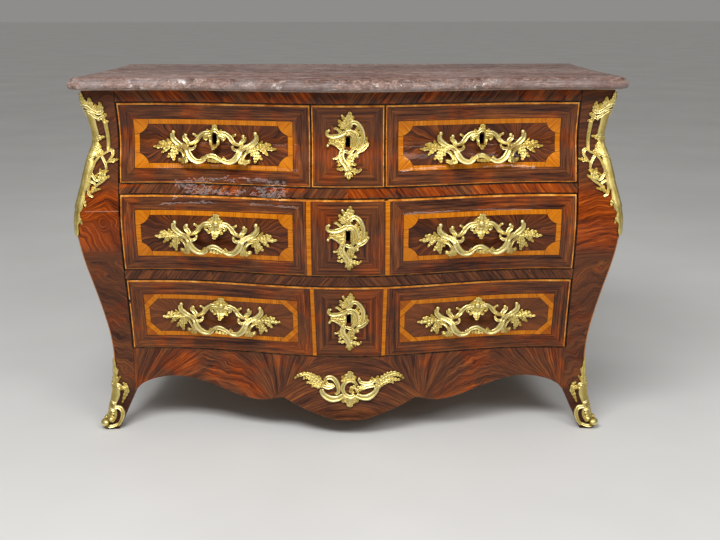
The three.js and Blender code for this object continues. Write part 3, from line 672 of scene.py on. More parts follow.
def lock_iron():
    bare, rusty = (0.030, 0.028, 0.027), (0.11, 0.085, 0.07)
    shader = Shader("lock iron")
    x, y, z = shader.parts()
    rust = shader.noise(x * 90.0, y * 90.0, z * 90.0, detail=4)
    colour = shader.tones(rust, [(0.35, bare), (0.7, rusty)])
    return shader.finish(colour, rust * 0.4 + 0.3, rust, 0.0001, Metallic=0.9)


unseen = (
    (("_lock", "_bolt"), lock_iron()),
    (("_box", "_left_side", "_right_side"), oak_timber("oak sides", "y")),
    (("dustboard", "_bottom", "_partition", "bottom_board"), oak_timber("oak boards", "flat")),
    (("_back", "back_panel"), oak_timber("oak back", "x")),
)
for name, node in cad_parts.items():
    for endings, material in unseen:
        if name.endswith(endings):
            node.data.materials.clear()
            node.data.materials.append(material)
            break

# The drawer fronts are oak, shaped outside and flat behind in height, with a little air round them,
# and cut for lock and keyhole. The veneer on them is a dark mitred frame, an orange band with a
# piece in each corner, and a sunburst round the handle; light stringing is let into the edges.
front_gap = 0.0015
front_thick = 0.024
front_end = drawer_half - front_gap
short_inner = 0.08675
centre_half = 0.08525
stringing_tones = [(0.36, (0.34, 0.090, 0.009)), (0.5, (0.62, 0.205, 0.020)), (0.66, (0.84, 0.40, 0.085))]


def handle_panel(shader, x, z, left, right, low, high, inset, seed, cut_corners=False):
    """Colour and grain of the panel round a handle, from its distances to the four edges of the
    dark frame. Its corners have quarter discs, or pieces that are cut straight across."""
    focus, seam_wide, edge_seam, mitre = 0.085, 0.0005, 0.0007, 0.0004
    joint_tone = (0.10, 0.025, 0.004)
    side_in, side_out, top_in, low_in = inset
    aside = (left - side_in).least(right - side_out)
    above = (low - low_in).least(high - top_in)
    inner = aside.least(above)
    streak, _ = mitred(shader, left.least(right), low.least(high), x, z, seed)
    tawny = shader.noise(x * 14.0, z * 14.0, seed, detail=2).rise(0.46, 0.62) * 0.5
    middle = ((high - low) * 0.5 + (low_in - top_in) * 0.5).size()
    from_focus = ((left - right) * 0.5).size() - focus
    spoke = middle.angle(from_focus)
    ring = (middle * middle + from_focus * from_focus).power(0.5)
    sector = (high - low).above(0.0) * 2.0 + (left - right).above(0.0) * 5.0 + seed
    bent = spoke + shader.noise(ring * 22.0, spoke * 1.5, sector, detail=1) * 0.35
    reserve = shader.tones(grain(shader, ring, bent * 0.075, sector + 5.0, wild=0.5), reserve_tones)
    across_band = x.toward(z, 1.0 - above.below(aside))
    band = grain(shader, inner * 2.0, across_band * 2.2, seed + 9.0)
    piece = grain(shader, aside + above, (aside - above) * 1.4, seed + 11.0)
    if cut_corners:
        reach, wedge, diagonal, faded = 0.034, 0.0205, 0.7071, (0.24, 0.085, 0.032)
        reserve = shader.blended(0.30, reserve, faded)
        corner = (aside + above) * diagonal
        piece_tones = [(level, (r * 0.62, g * 0.52, b)) for level, (r, g, b) in orange_tones]
        in_wedge = corner.below(wedge)
        joint_and_gap_shade = (corner - wedge).size().below(seam_wide)
    else:
        reach = 0.037
        corner = (aside * aside + above * above).power(0.5)
        piece_tones = orange_tones
        in_wedge = corner.below(reach)
        joint_and_gap_shade = (aside - above).size().below(mitre) * in_wedge
    on_panel = inner.above(0.0)
    band_seam = (inner - band_wide).size().below(seam_wide) * corner.above(reach)
    piece_seam = (corner - reach).size().below(seam_wide) * on_panel
    return shader.layered(
        kingwood(shader, tawny, streak),
        (on_panel, shader.tones(band, orange_tones)),
        (corner.below(reach) * on_panel, shader.tones(piece.toward(band, 0.3), orange_tones)),
        (in_wedge * on_panel, shader.tones(piece, piece_tones)),
        (joint_and_gap_shade * on_panel * 0.6, joint_tone),
        (inner.above(band_wide) * corner.above(reach), reserve),
        (inner.size().below(edge_seam).most(band_seam).most(piece_seam) * 0.85, glue_and_gap_shade),
    ), streak


def edged(shader, colour, x, z, left, right, low, high, seed, lower=0.75):
    """The light stringing let into the drawer's own edges, broader on top, duller below, chipped
    here and there; outside it a dark line of painted shade stands for the gap round the drawer, and reaches
    over the stringing where that is chipped."""
    end_line, top_line, low_line, joint_and_gap_shade, chipped = 0.0039, 0.0056, 0.0032, 0.0015, 0.0042
    chip = shader.noise(x * 40.0, z * 40.0, seed, detail=3)
    ends = left.least(right)
    line = ends.below(end_line).most(high.below(top_line)).most(low.below(low_line) * lower)
    tone = shader.noise(x * 30.0, z * 30.0, seed, detail=4, rough=0.7)
    edge = ends.least(high).least(low)
    # Painted shade of the gap round the drawer, reaching further in where the edge is chipped
    gap_shade = edge.below(joint_and_gap_shade).most(edge.below(chip.rise(0.62, 0.74) * chipped))
    return shader.layered(colour, (line, shader.tones(tone, stringing_tones)), (gap_shade, glue_and_gap_shade))


def short_drawer_veneer(name, x0, x1, inset, seed):
    shader = Shader(name)
    x, _, z = shader.parts()
    z0, z1 = row_heights["top"]
    edges = (x - x0, x1 - x, z - z0, z1 - z)
    colour, streak = handle_panel(shader, x, z, *edges, inset, seed)
    return polished(shader, edged(shader, colour, x, z, *edges, seed), streak)


def centre_panel(shader, x, z, half, low, high, seed):
    """Nested mitred squares with the grain along each side."""
    aside = half - x.size()
    above = low.least(high)
    streak, depth = mitred(shader, aside, above, x, z, seed)
    rim = shader.noise(depth * 130.0, seed, aside.below(above) * 2.0, detail=2)
    glow = shader.noise(x * 9.0, z * 9.0, seed, detail=2).rise(0.48, 0.64)
    return kingwood(shader, glow * 0.55, streak * 0.62 + rim.spread(1.5) * 0.38), streak


def centre_drawer_veneer():
    shader = Shader("centre drawer veneer")
    x, _, z = shader.parts()
    z0, z1 = row_heights["top"]
    low, high = z - z0, z1 - z
    colour, streak = centre_panel(shader, x, z, centre_half, low, high, 4.0)
    colour = edged(shader, colour, x, z, x + centre_half, centre_half - x, low, high, 2.0)
    return polished(shader, colour, streak)


def wide_drawer_veneer(name, row, seed, inset, cut_corners):
    """A wide drawer looks like three: a handle panel each side of a mitred centre panel. On the
    lowest one the bands beside the centre panel slant, and its lower stringing is nearly gone."""
    panel_from, slant, slant_from, seam_wide = 0.0985, 0.023, 0.0042, 0.0006
    lower = 0.12 if cut_corners else 0.45
    band_in, band_out = (0.0878, 0.0977) if cut_corners else (0.087, 0.0985)
    shader = Shader(name)
    x, _, z = shader.parts()
    z0, z1 = row_heights[row]
    reach = x.size()
    low, high = z - z0, z1 - z
    outer = front_end - reach
    hand_seed = x.above(0.0) * 6.0 + seed
    drawn = reach + high * slant + slant_from if cut_corners else reach
    edges = (reach - panel_from, outer, low, high)
    colour, streak = handle_panel(shader, reach, z, *edges, inset, hand_seed, cut_corners)
    centre, _ = centre_panel(shader, x, z, band_in, low, high, seed + 20.0)
    band = grain(shader, x * 2.0, z * 2.2, seed + 31.0)
    seam = (drawn - band_in).size().least((drawn - band_out).size()).below(seam_wide)
    colour = shader.layered(
        colour,
        (drawn.below(band_out), centre),
        (drawn.above(band_in) * drawn.below(band_out), shader.tones(band, orange_tones)),
        (seam * 0.8, glue_and_gap_shade),
    )
    # Only the outer end counts here, so the other is put out of reach
    colour = edged(shader, colour, x, z, outer, outer + 1.0, low, high, seed, lower)
    return polished(shader, colour, streak)


def key_tool(x, height):
    """A cutter in the shape of a keyhole, long enough to pass through any front."""
    radius, half_high, ahead, behind = 0.005, 0.012, 0.2, 0.3
    outline = [(x - radius, height - half_high), (x + radius, height - half_high)]
    for turn in np.linspace(0, math.pi, 9):
        outline.append((x + radius * math.cos(turn), height + half_high - radius + radius * math.sin(turn)))
    return stacked([[(u, y, v) for u, v in outline] for y in (front_datum + behind, front_datum - ahead)])


def drawer_front(drawer, x0, x1, row, key_at, material):
    key_rise, thinner, recess_end, overrun = 0.008, 0.0007, 0.2, 0.02
    z0, z1 = row_heights[row]
    lowest = bulge(np.linspace(z0, z1, 60)).min()
    inner = lambda xs: front_datum - serpentine(xs) + front_thick - thinner - lowest
    points, faces = front_board(x0, x1, z0 + front_gap, z1 - front_gap, inner)
    piece = new_piece(drawer + "_front_veneer", points, faces, material, edge=0)
    (lock_x0, lock_y0, lock_z0), (lock_x1, _, _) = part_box(drawer + "_lock")
    recess_low = (lock_x0 - seat, lock_y0 - seat, lock_z0 - seat)
    recess = block(recess_low, (lock_x1 + seat, recess_end, z1 + overrun))
    cut_out(piece, [key_tool(key_at, (z0 + z1) / 2 + key_rise), recess])
    eased(piece)
    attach(piece, drawer)
    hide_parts(drawer + "_front")


handle_at = 0.3166
drawer_front(
    "top_left_drawer", -front_end, -short_inner, "top", -handle_at,
    short_drawer_veneer("left drawer veneer", -front_end, -short_inner, (0.036, 0.0415, 0.0395, 0.0345), 1.0),
)
drawer_front(
    "top_right_drawer", short_inner, front_end, "top", handle_at,
    short_drawer_veneer("right drawer veneer", short_inner, front_end, (0.030, 0.0405, 0.039, 0.0355), 14.0),
)
drawer_front("top_centre_drawer", -centre_half, centre_half, "top", 0.0, centre_drawer_veneer())
drawer_front(
    "middle_drawer", -front_end, front_end, "middle", 0.0,
    wide_drawer_veneer("middle drawer veneer", "middle", 30.0, (0.031, 0.0355, 0.036, 0.036), False),
)
drawer_front(
    "bottom_drawer", -front_end, front_end, "bottom", 0.0,
    wide_drawer_veneer("bottom drawer veneer", "bottom", 50.0, (0.0255, 0.037, 0.039, 0.034), True),
)

# The top is a loose slab of marble, a brown and rose breccia with white flecks. It follows the case
# and hangs over it, and its edge is a worn round over a small hollow.
marble_thick = 0.027
marble_over = 0.035
marble_side_less = 0.005
marble_back = 0.005
moulding_depth = 0.016
moulding_shares = [(0, -0.75), (0.1, -0.2), (0.35, 0), (0.6, -0.12), (0.7, -0.5), (0.9, -0.55), (1, -0.8)]
breccia_tones = [
    (0.24, (0.040, 0.022, 0.017)), (0.40, (0.115, 0.058, 0.043)), (0.53, (0.215, 0.118, 0.090)),
    (0.68, (0.31, 0.205, 0.170)), (0.86, (0.54, 0.47, 0.41)),
]
marble_grey, marble_spot, chalk_white = (0.23, 0.205, 0.21), (0.040, 0.027, 0.024), (0.78, 0.76, 0.72)
marble_fleck, marble_dusk, marble_seam = (0.66, 0.60, 0.54), (0.105, 0.050, 0.040), (0.50, 0.40, 0.36)
marble_lit_edge, marble_worn = (0.66, 0.55, 0.50), (0.55, 0.43, 0.34)


def marble_stone():
    shader = Shader("marble")
    x, y, z = shader.parts()
    drift = shader.noise(x * 3.0, y * 6.0, z * 3.0, detail=4)
    mottle = shader.noise(x * 46.0, y * 52.0, z * 70.0, detail=5, rough=0.62, swirl=0.9)
    speckle = shader.noise(x * 190.0, y * 190.0, z * 190.0, detail=3, rough=0.7)
    body = shader.tones((mottle * 0.46 + drift * 0.24 + speckle * 0.30).spread(2.7), breccia_tones)
    # Painted light: below the top's round, the slab's edge shows more of every mark than the top, and gets a
    # lighter wash further on, so that it reads as a face lit more strongly than the top
    edge = 1.0 - z.rise(case_top + 0.020, case_top + 0.0265)
    grey = shader.noise(x * 14.0, y * 24.0, z * 40.0, detail=5, rough=0.7).rise(0.46, 0.58)
    spots = shader.noise(x * 75.0, y * 90.0, z * 90.0, detail=3, rough=0.6)
    chalk = shader.noise(x * 26.0, y * 34.0, z * 44.0, detail=6, rough=0.70, swirl=0.5).rise(0.595, 0.64)
    flecks = shader.noise(x * 95.0, y * 95.0, z * 95.0, detail=4, rough=0.7).rise(0.68, 0.73)
    seams = shader.noise(x * 3.0, y * 40.0, z * 14.0, detail=4, swirl=1.2)
    dusk = shader.noise(x * 2.2, y * 22.0, z * 10.0, detail=4, rough=0.6).rise(0.46, 0.62)
    healed = shader.noise(x * 4.0, y * 4.0, 2.0).rise(0.42, 0.58)
    seam = (1.0 - (seams - 0.5).size().rise(0.0, 0.013)) * healed
    worn = (1.0 - (z - (case_top + 0.0015)).size().rise(0.0008, 0.0022)) * spots.rise(0.36, 0.5)
    body = shader.layered(
        body,
        (grey * (edge * 0.25 + 0.30), marble_grey),
        (spots.rise(0.62, 0.68) * (edge * 0.6 + 0.25), marble_spot),
        (chalk * (edge * 0.70 + 0.15), chalk_white),
        (flecks * (edge * 0.5 + 0.25), marble_fleck),
        (dusk * 0.45, marble_dusk),
        (seam * 0.5, marble_seam),
        (edge * 0.12, marble_lit_edge),
        (worn * 0.6, marble_worn),
    )
    return shader.finish(
        body, spots * 0.25 + 0.34, mottle * 0.6 + speckle * 0.4, 0.0003,
        Specular_IOR_Level=0.2, Coat_Weight=0.06, Coat_Roughness=0.2,
    )


def marble_line(inset):
    """The slab's outline, seen from above, at some inset from its widest."""
    over = marble_over + inset
    out = float(bulge(case_top))
    cx = corner_half - corner_radius + out - marble_side_less
    cy = corner_radius - out
    arc = [
        (cx + (corner_radius + over) * math.cos(a), cy + (corner_radius + over) * math.sin(a))
        for a in np.linspace(-math.pi / 2, 0, 14)
    ]
    side_out = out - marble_side_less + over
    side = [(float(side_x(y)) + side_out, y) for y in np.linspace(post_depth, back_y, 16)]
    right = arc + side[:-1] + [(side[-1][0], back_y + marble_back)]
    front = [(x, float(-serpentine(x)) - out - over) for x in steps(-drawer_half, drawer_half, 0.012)]
    line = front + right + [(-x, y) for x, y in reversed(right)]
    return [(x, front_datum + y) for x, y in line]


heights = np.concatenate([np.linspace(0, 0.6, 9), np.linspace(0.64, 1, 6)])
insets = np.minimum(0, smooth_curve(moulding_shares, heights)) * moulding_depth
rings = [
    [(x, y, case_top + seat + marble_thick * share) for x, y in marble_line(float(inset))]
    for share, inset in zip(heights, insets)
]
piece = new_piece("marble_slab", *stacked(rings), marble_stone(), sharp=60, edge=0)
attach(piece, "case")
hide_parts("marble_top")

# The handles are single castings of gilt bronze, chased, matt and dark in the hollows and burnished
# on the ridges, pinned to the fronts. Each has a framed opening to grip, leafy branches at both ends
# and a cartouche on top; below, the frame bows forward for the fingers. Lists are in millimetres.
MM = 0.001
gold_tones = [
    (0.16, (0.22, 0.135, 0.022)), (0.36, (0.58, 0.42, 0.10)), (0.58, (0.82, 0.67, 0.24)),
    (0.84, (0.95, 0.86, 0.46)),
]
# Outlines of the castings' sections: across, height
scroll_section = [
    (-1.0, 0.0), (-0.96, 0.50), (-0.76, 0.84), (-0.50, 0.74), (-0.28, 0.42), (-0.02, 0.38), (0.22, 0.66),
    (0.52, 1.0), (0.80, 0.86), (0.97, 0.45), (1.0, 0.0), (0.7, -0.28), (-0.7, -0.28),
]
leaf_section = [
    (-1.0, 0.10), (-0.90, 0.46), (-0.62, 0.66), (-0.32, 0.36), (-0.12, 0.66), (0.0, 0.78), (0.12, 0.66),
    (0.32, 0.36), (0.62, 0.66), (0.90, 0.46), (1.0, 0.10), (0.6, -0.15), (-0.6, -0.15),
]
plain_section = [
    (-1.0, 0.0), (-0.97, 0.50), (-0.86, 0.72), (-0.70, 0.62), (-0.45, 0.40), (0.0, 0.34), (0.45, 0.40),
    (0.70, 0.62), (0.86, 0.72), (0.97, 0.50), (1.0, 0.0), (0.7, -0.1), (-0.7, -0.1),
]


def gilding():
    shader = Shader("gilding")
    x, y, z = shader.parts()
    ridge = shader.stored("ridge")
    patch = shader.noise(x * 120.0, y * 120.0, z * 120.0, detail=4)
    chased = shader.noise(x * 900.0, y * 900.0, z * 900.0, detail=2)
    colour = shader.tones(ridge * 0.62 + patch * 0.38, gold_tones)
    rough = ridge * -0.16 + patch * 0.2 + 0.42
    return shader.finish(colour, rough, chased * 0.4 + patch * 0.6, 0.0004, Metallic=1.0)


def run_of(points):
    """How long a line through points is."""
    return float(np.linalg.norm(np.diff(np.array(points, float), axis=0), axis=1).sum())


def spline(points, count):
    """A smooth line through points, evenly stepped."""
    points = np.array(points, float)
    places = np.concatenate([[0], np.cumsum(np.linalg.norm(np.diff(points, axis=0), axis=1))])
    at = np.linspace(0, places[-1], count)
    return np.stack([smooth_curve(list(zip(places, points[:, k])), at) for k in range(points.shape[1])], 1)


def swept(points, widths, section, rise, lobes=0, curl=0.0):
    """A tapering length of casting, flat: rows of (across, up, height, burnish) round its section."""
    step, end_round, highest = 1.1, 2.4, 5.2
    length = run_of(points)
    count = max(9, int(length / step) + 1)
    line = spline(points, count)
    ahead = np.gradient(line, axis=0)
    ahead /= np.maximum(np.linalg.norm(ahead, axis=1), 1e-9)[:, None]
    cross = np.stack([-ahead[:, 1], ahead[:, 0]], 1)
    t = np.linspace(0, 1, count)
    half = np.interp(t, (0, 0.5, 1), widths) / 2
    half *= np.minimum(1, np.sqrt(np.minimum(t, 1 - t) * length / end_round + 0.04))
    wave = np.sin(math.pi * ((lobes * t) % 1.0) ** 1.5) if lobes else np.ones(count)
    half *= 0.75 + 0.34 * wave if lobes else 1.0
    high = rise * np.minimum(half * 1.1, highest) * (0.88 + 0.17 * wave)
    lift = curl * t**4
    rows = []
    for k in range(count):
        row = []
        for s, h in section:
            u, v = line[k] + cross[k] * half[k] * s
            burnish = min(1.0, max(0.0, h * (0.75 + 0.3 * wave[k])))
            row.append((u, v, high[k] * h + lift[k], burnish))
        rows.append(row)
    return rows


def scroll(points, *widths, rise=1.0):
    return swept(points, widths, scroll_section, rise)


def leaf(points, *widths, rise=0.95, lobe=8.2):
    """A leaf with a lobe every so often, its tip curling off the ground."""
    return swept(points, widths, leaf_section, rise, lobes=max(2, round(run_of(points) / lobe)), curl=1.8)


def plain(points, *widths, rise=0.8):
    return swept(points, widths, plain_section, rise)


def bead(u, v, radius, out=0.5):
    """A round bud, or the eye of a scroll."""
    rows = []
    for tilt in np.linspace(-0.47 * math.pi, 0.485 * math.pi, 8):
        ring, high = radius * math.cos(tilt), math.sin(tilt)
        rows.append([
            (u + ring * math.cos(a), v + ring * math.sin(a), radius * (out + high), max(0, high))
            for a in np.linspace(0, 2 * math.pi, 12, endpoint=False)
        ])
    return rows


def both(shapes):
    """Shapes, and their mirror images."""
    return shapes + [[[(-u, v, h, r) for u, v, h, r in reversed(row)] for row in rows] for rows in shapes]


def casting(name, shapes, place):
    """Bends flat scrolls and leaves onto the case with place(across, up, height) and joins them."""
    points, ridges, faces = [], [], []
    for rows in shapes:
        flat, rounds = stacked(rows)
        faces.extend(tuple(len(points) + corner for corner in face) for face in rounds)
        points.extend([place(u, v, h) for u, v, h, _ in flat])
        ridges.extend(flat[:, 3])
    piece = new_piece(name + "_casting", points, faces, gilt, sharp=75, edge=0)
    stored(piece, ridge=ridges)
    return piece


gilt = gilding()
ground = 2.2
grip_lift, grip_near, grip_far, grip_top, grip_low, grip_rise = 24.0, 58.0, 100.0, 14.0, -22.0, 0.3
handle_half = [
    scroll([(13, 29), (25, 28), (36, 20), (45, 8), (54, 2), (67, 1)], 9, 13, 10),
    leaf([(38, 16), (45, 21), (51, 26)], 9, 8, 5), bead(51, 25, 3.4),
    scroll([(8, 25), (18, 23), (25, 17), (22, 11)], 8, 8, 6), bead(21, 12, 3.4),
    leaf([(11, 29), (16, 34), (18, 38)], 8, 8, 4),
    scroll([(86, 0), (75, -5), (65, -15), (60, -28), (52, -39), (40, -46), (28, -45), (19, -38)], 12, 17, 11),
    scroll([(62, -13), (53, -15), (46, -10), (45, -4)], 8, 9, 6), bead(45, -4, 3.6),
    leaf([(30, -43), (26, -37), (24, -32)], 7, 8, 4),
    leaf([(60, -3), (78, -6), (96, -6), (114, -3), (130, -4)], 13, 14, 9),
    scroll([(80, -3), (92, 5), (101, 15), (102, 27)], 13, 15, 12), bead(99, 29, 5.6),
    scroll([(62, 0), (67, 9), (73, 15), (73, 22)], 12, 13, 9), bead(70, 22, 5.0),
    leaf([(104, -2), (111, 6), (116, 14)], 10, 10, 3), leaf([(114, -2), (124, 4), (137, 4)], 10, 11, 5),
    leaf([(124, -4), (137, -6), (150, -5)], 10, 12, 3), leaf([(109, -5), (120, -13), (130, -23)], 10, 13, 3),
    leaf([(97, -6), (101, -22), (98, -43)], 13, 19, 4), leaf([(101, -18), (110, -28), (116, -34)], 9, 12, 4),
    leaf([(92, -8), (91, -19), (88, -26)], 7, 8, 3), leaf([(60, -25), (66, -36), (66, -51)], 13, 19, 8),
    leaf([(65, -36), (76, -43), (87, -38)], 12, 15, 7), leaf([(65, -38), (73, -47), (79, -50)], 9, 10, 4),
    bead(85, -38, 3.6), scroll([(93, -13), (81, -17), (74, -26), (71, -35)], 6, 8, 7),
]
handle_grip = [
    scroll([(-27, -43), (-14, -33), (-2, -31), (10, -36), (24, -45)], 9, 13, 9),
    leaf([(-16, -42), (0, -44), (17, -45)], 7, 10, 7), bead(-13, -33, 3.6),
]
handle_shell = [
    leaf([(1, 12), (1, 32), (3, 52)], 22, 32, 13), leaf([(-2, 22), (-10, 32), (-14, 41)], 13, 14, 6),
    leaf([(3, 22), (12, 30), (17, 38)], 13, 14, 5), leaf([(0, 18), (-1, 2), (-2, -12)], 30, 22, 6),
    leaf([(-6, 14), (-15, 8), (-20, 4)], 12, 12, 4), leaf([(6, 12), (14, 6), (18, 2)], 12, 12, 4),
    bead(1, 28, 8.0, 0.2), scroll([(-9, 30), (-15, 22), (-12, 12)], 7, 8, 6),
    scroll([(11, 30), (16, 21), (12, 11)], 7, 8, 6),
]
handle_keyhole = [
    plain([(-9, 30), (-10, 14), (-8, -3)], 8, 8, 7), plain([(9, 30), (10, 14), (8, -3)], 8, 8, 7),
    scroll([(-12, 27), (0, 35), (12, 27)], 8, 10, 8), leaf([(0, 31), (1, 40), (2, 50)], 18, 18, 8),
    leaf([(0, -1), (-1, -8), (-2, -17)], 20, 15, 4), leaf([(-12, 22), (-18, 16), (-20, 10)], 7, 8, 4),
    leaf([(12, 22), (18, 16), (20, 10)], 7, 8, 4),
]


def handle(drawer, side, row, at, keyed):
    """keyed has a keyhole in its cartouche, sits lower and is a little shorter below."""
    lower, shorter = 0.005, 0.9
    middle = sum(row_heights[row]) / 2 - (lower if keyed else 0)

    def place(u, v, h):
        inward = np.clip((grip_far - abs(u)) / (grip_far - grip_near), 0, 1)
        downward = np.clip((grip_top - v) / (grip_top - grip_low), 0, 1)
        lift = grip_lift * inward**2 * (3 - 2 * inward) * downward**2 * (3 - 2 * downward)
        x = at + u * MM
        z = middle + ((shorter * v if keyed and v < 0 else v) + grip_rise * lift) * MM
        return (x, float(front_y(x, z)) - (ground + lift + h) * MM, z)

    name = f"{drawer}{side}_handle"
    cartouche = handle_keyhole if keyed else handle_shell
    piece = casting(name, both(handle_half) + handle_grip + cartouche, place)
    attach(piece, drawer)
    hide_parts(name)


handle("top_left_drawer", "", "top", -handle_at, True)
handle("top_right_drawer", "", "top", handle_at, True)
for row in ("middle", "bottom"):
    handle(row + "_drawer", "_left", row, -handle_at, False)
    handle(row + "_drawer", "_right", row, handle_at, False)

# The escutcheons are lopsided rocaille cartouches of the same gilt bronze, pinned round the keyholes
# in the middle of each row. All three are cast from one pattern.
escutcheon_rise = 0.005
escutcheon = [
    scroll([(-4, 27), (3, 42), (14, 50), (26, 43), (34, 27), (35, 12), (31, -4), (25, -16),
        (18, -24)], 8.8, 12.1, 9.9),
    leaf([(13, 49), (19, 51), (24, 49)], 7.7, 7.7, 4.4),
    scroll([(19, -20), (17, -28), (22, -32)], 7.7, 7.7, 5.5), bead(22, -28, 4.2),
    scroll([(-7, -16), (4, -20), (13, -10), (16, 4), (12, 18), (3, 23), (-6, 20)], 8.8, 9.9, 8.8),
    scroll([(-6, 27), (8, 28), (18, 19), (21, 4), (17, -9)], 7.7, 13.2, 8.8),
    leaf([(16, 24), (21, 32), (23, 41)], 7.7, 9.9, 5.5), leaf([(20, 18), (26, 24), (30, 28)], 7.7, 9.9, 5.5),
    leaf([(22, 10), (28, 12), (33, 13)], 7.7, 9.9, 5.5), leaf([(22, 2), (28, 0), (32, -2)], 7.7, 9.9, 5.5),
    leaf([(20, -6), (25, -9), (29, -12)], 7.7, 8.8, 5.5),
    scroll([(-4, 27), (-19, 19), (-34, 16), (-45, 18), (-49, 25), (-45, 31)], 13.2, 12.1, 7.7),
    bead(-44, 30, 3.6), scroll([(-14, 25), (-22, 32), (-28, 36), (-33, 33)], 8.8, 7.7, 5.5),
    scroll([(-10, -18), (-20, -8), (-30, -1), (-40, 2), (-47, -2)], 11, 9.9, 6.6), bead(-47, -5, 4.0),
    leaf([(-6, 13), (-20, 12), (-34, 12), (-43, 13)], 9.9, 12.1, 4.4),
    leaf([(-6, 6), (-20, 4), (-34, 7), (-45, 8)], 12.1, 13.2, 4.4),
    leaf([(-7, -2), (-20, -3), (-33, 3)], 13.2, 13.2, 4.4),
    leaf([(-7, -9), (-16, -9), (-25, -5)], 12.1, 9.9, 3.3),
    leaf([(-7, 20), (-14, 14), (-18, 6)], 9.9, 11, 6.6),
    scroll([(-9, -12), (-15, -24), (-13, -37), (-5, -48), (1, -60)], 13.2, 16.5, 13.2),
    scroll([(-16, -22), (-24, -31), (-33, -35)], 8.8, 7.7, 5.5), bead(-33, -34, 3.2),
    leaf([(-13, -32), (-22, -39), (-27, -41)], 9.9, 9.9, 3.3),
    leaf([(-10, -40), (-20, -47), (-26, -49)], 9.9, 9.9, 3.3),
    leaf([(-4, -52), (-16, -57), (-27, -56)], 11, 9.9, 4.4),
    leaf([(0, -54), (1, -68), (2, -81)], 17.6, 18.7, 4.4),
    leaf([(2, -64), (8, -69), (10, -75)], 7.7, 7.7, 3.3),
    leaf([(0, -64), (-5, -69), (-7, -75)], 7.7, 7.7, 3.3),
    leaf([(2, -58), (14, -60), (24, -62), (32, -56)], 9.9, 11, 4.4),
    leaf([(11, -59), (15, -65), (17, -70)], 6.6, 6.6, 3.3),
    scroll([(12, -20), (4, -27), (-1, -40), (2, -52), (11, -57)], 8.8, 8.8, 6.6),
    leaf([(14, -22), (7, -36), (8, -51)], 14.3, 16.5, 8.8),
    leaf([(8, -38), (13, -46), (21, -47)], 9.9, 8.8, 4.4),
    scroll([(20, -18), (32, -14), (43, -5), (48, 3)], 9.9, 9.9, 5.5),
    leaf([(35, -10), (41, 3), (44, 16)], 11, 13.2, 4.4),
    leaf([(-4, 31), (0, 46), (3, 58), (6, 75)], 22, 26.4, 6.6),
    leaf([(3, 50), (10, 58), (13, 66)], 11, 11, 4.4), leaf([(-2, 48), (-9, 58), (-13, 65)], 12.1, 11, 4.4),
    bead(-13, 65, 3.4), leaf([(-8, 34), (-15, 46), (-22, 56)], 15.4, 14.3, 4.4),
    leaf([(-9, 39), (-17, 42), (-23, 44)], 9.9, 8.8, 3.3),
    plain([(8.6, 18), (9.2, 4), (8.4, -11)], 6.5, 8, 6.5),
    plain([(-8.6, 18), (-9.2, 4), (-8.4, -11)], 6.5, 8, 6.5),
    leaf([(12, 26), (20, 14), (21, -2), (14, -14)], 8.8, 16.5, 9.9, rise=0.5),
    leaf([(-9, 20), (-17, 10), (-27, 2)], 9.9, 14.3, 7.7, rise=0.5),
]


def on_front(middle):
    """Lays a casting on the front of the case, about a height in the middle of it."""
    def place(u, v, h):
        x = u * MM
        z = middle + v * MM
        return (x, float(front_y(x, z)) - (ground + h) * MM, z)
    return place


for drawer, row in (("top_centre_drawer", "top"), ("middle_drawer", "middle"), ("bottom_drawer", "bottom")):
    middle = sum(row_heights[row]) / 2 + escutcheon_rise
    piece = casting(drawer + "_escutcheon", escutcheon, on_front(middle))
    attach(piece, drawer)
    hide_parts(drawer + "_escutcheon")

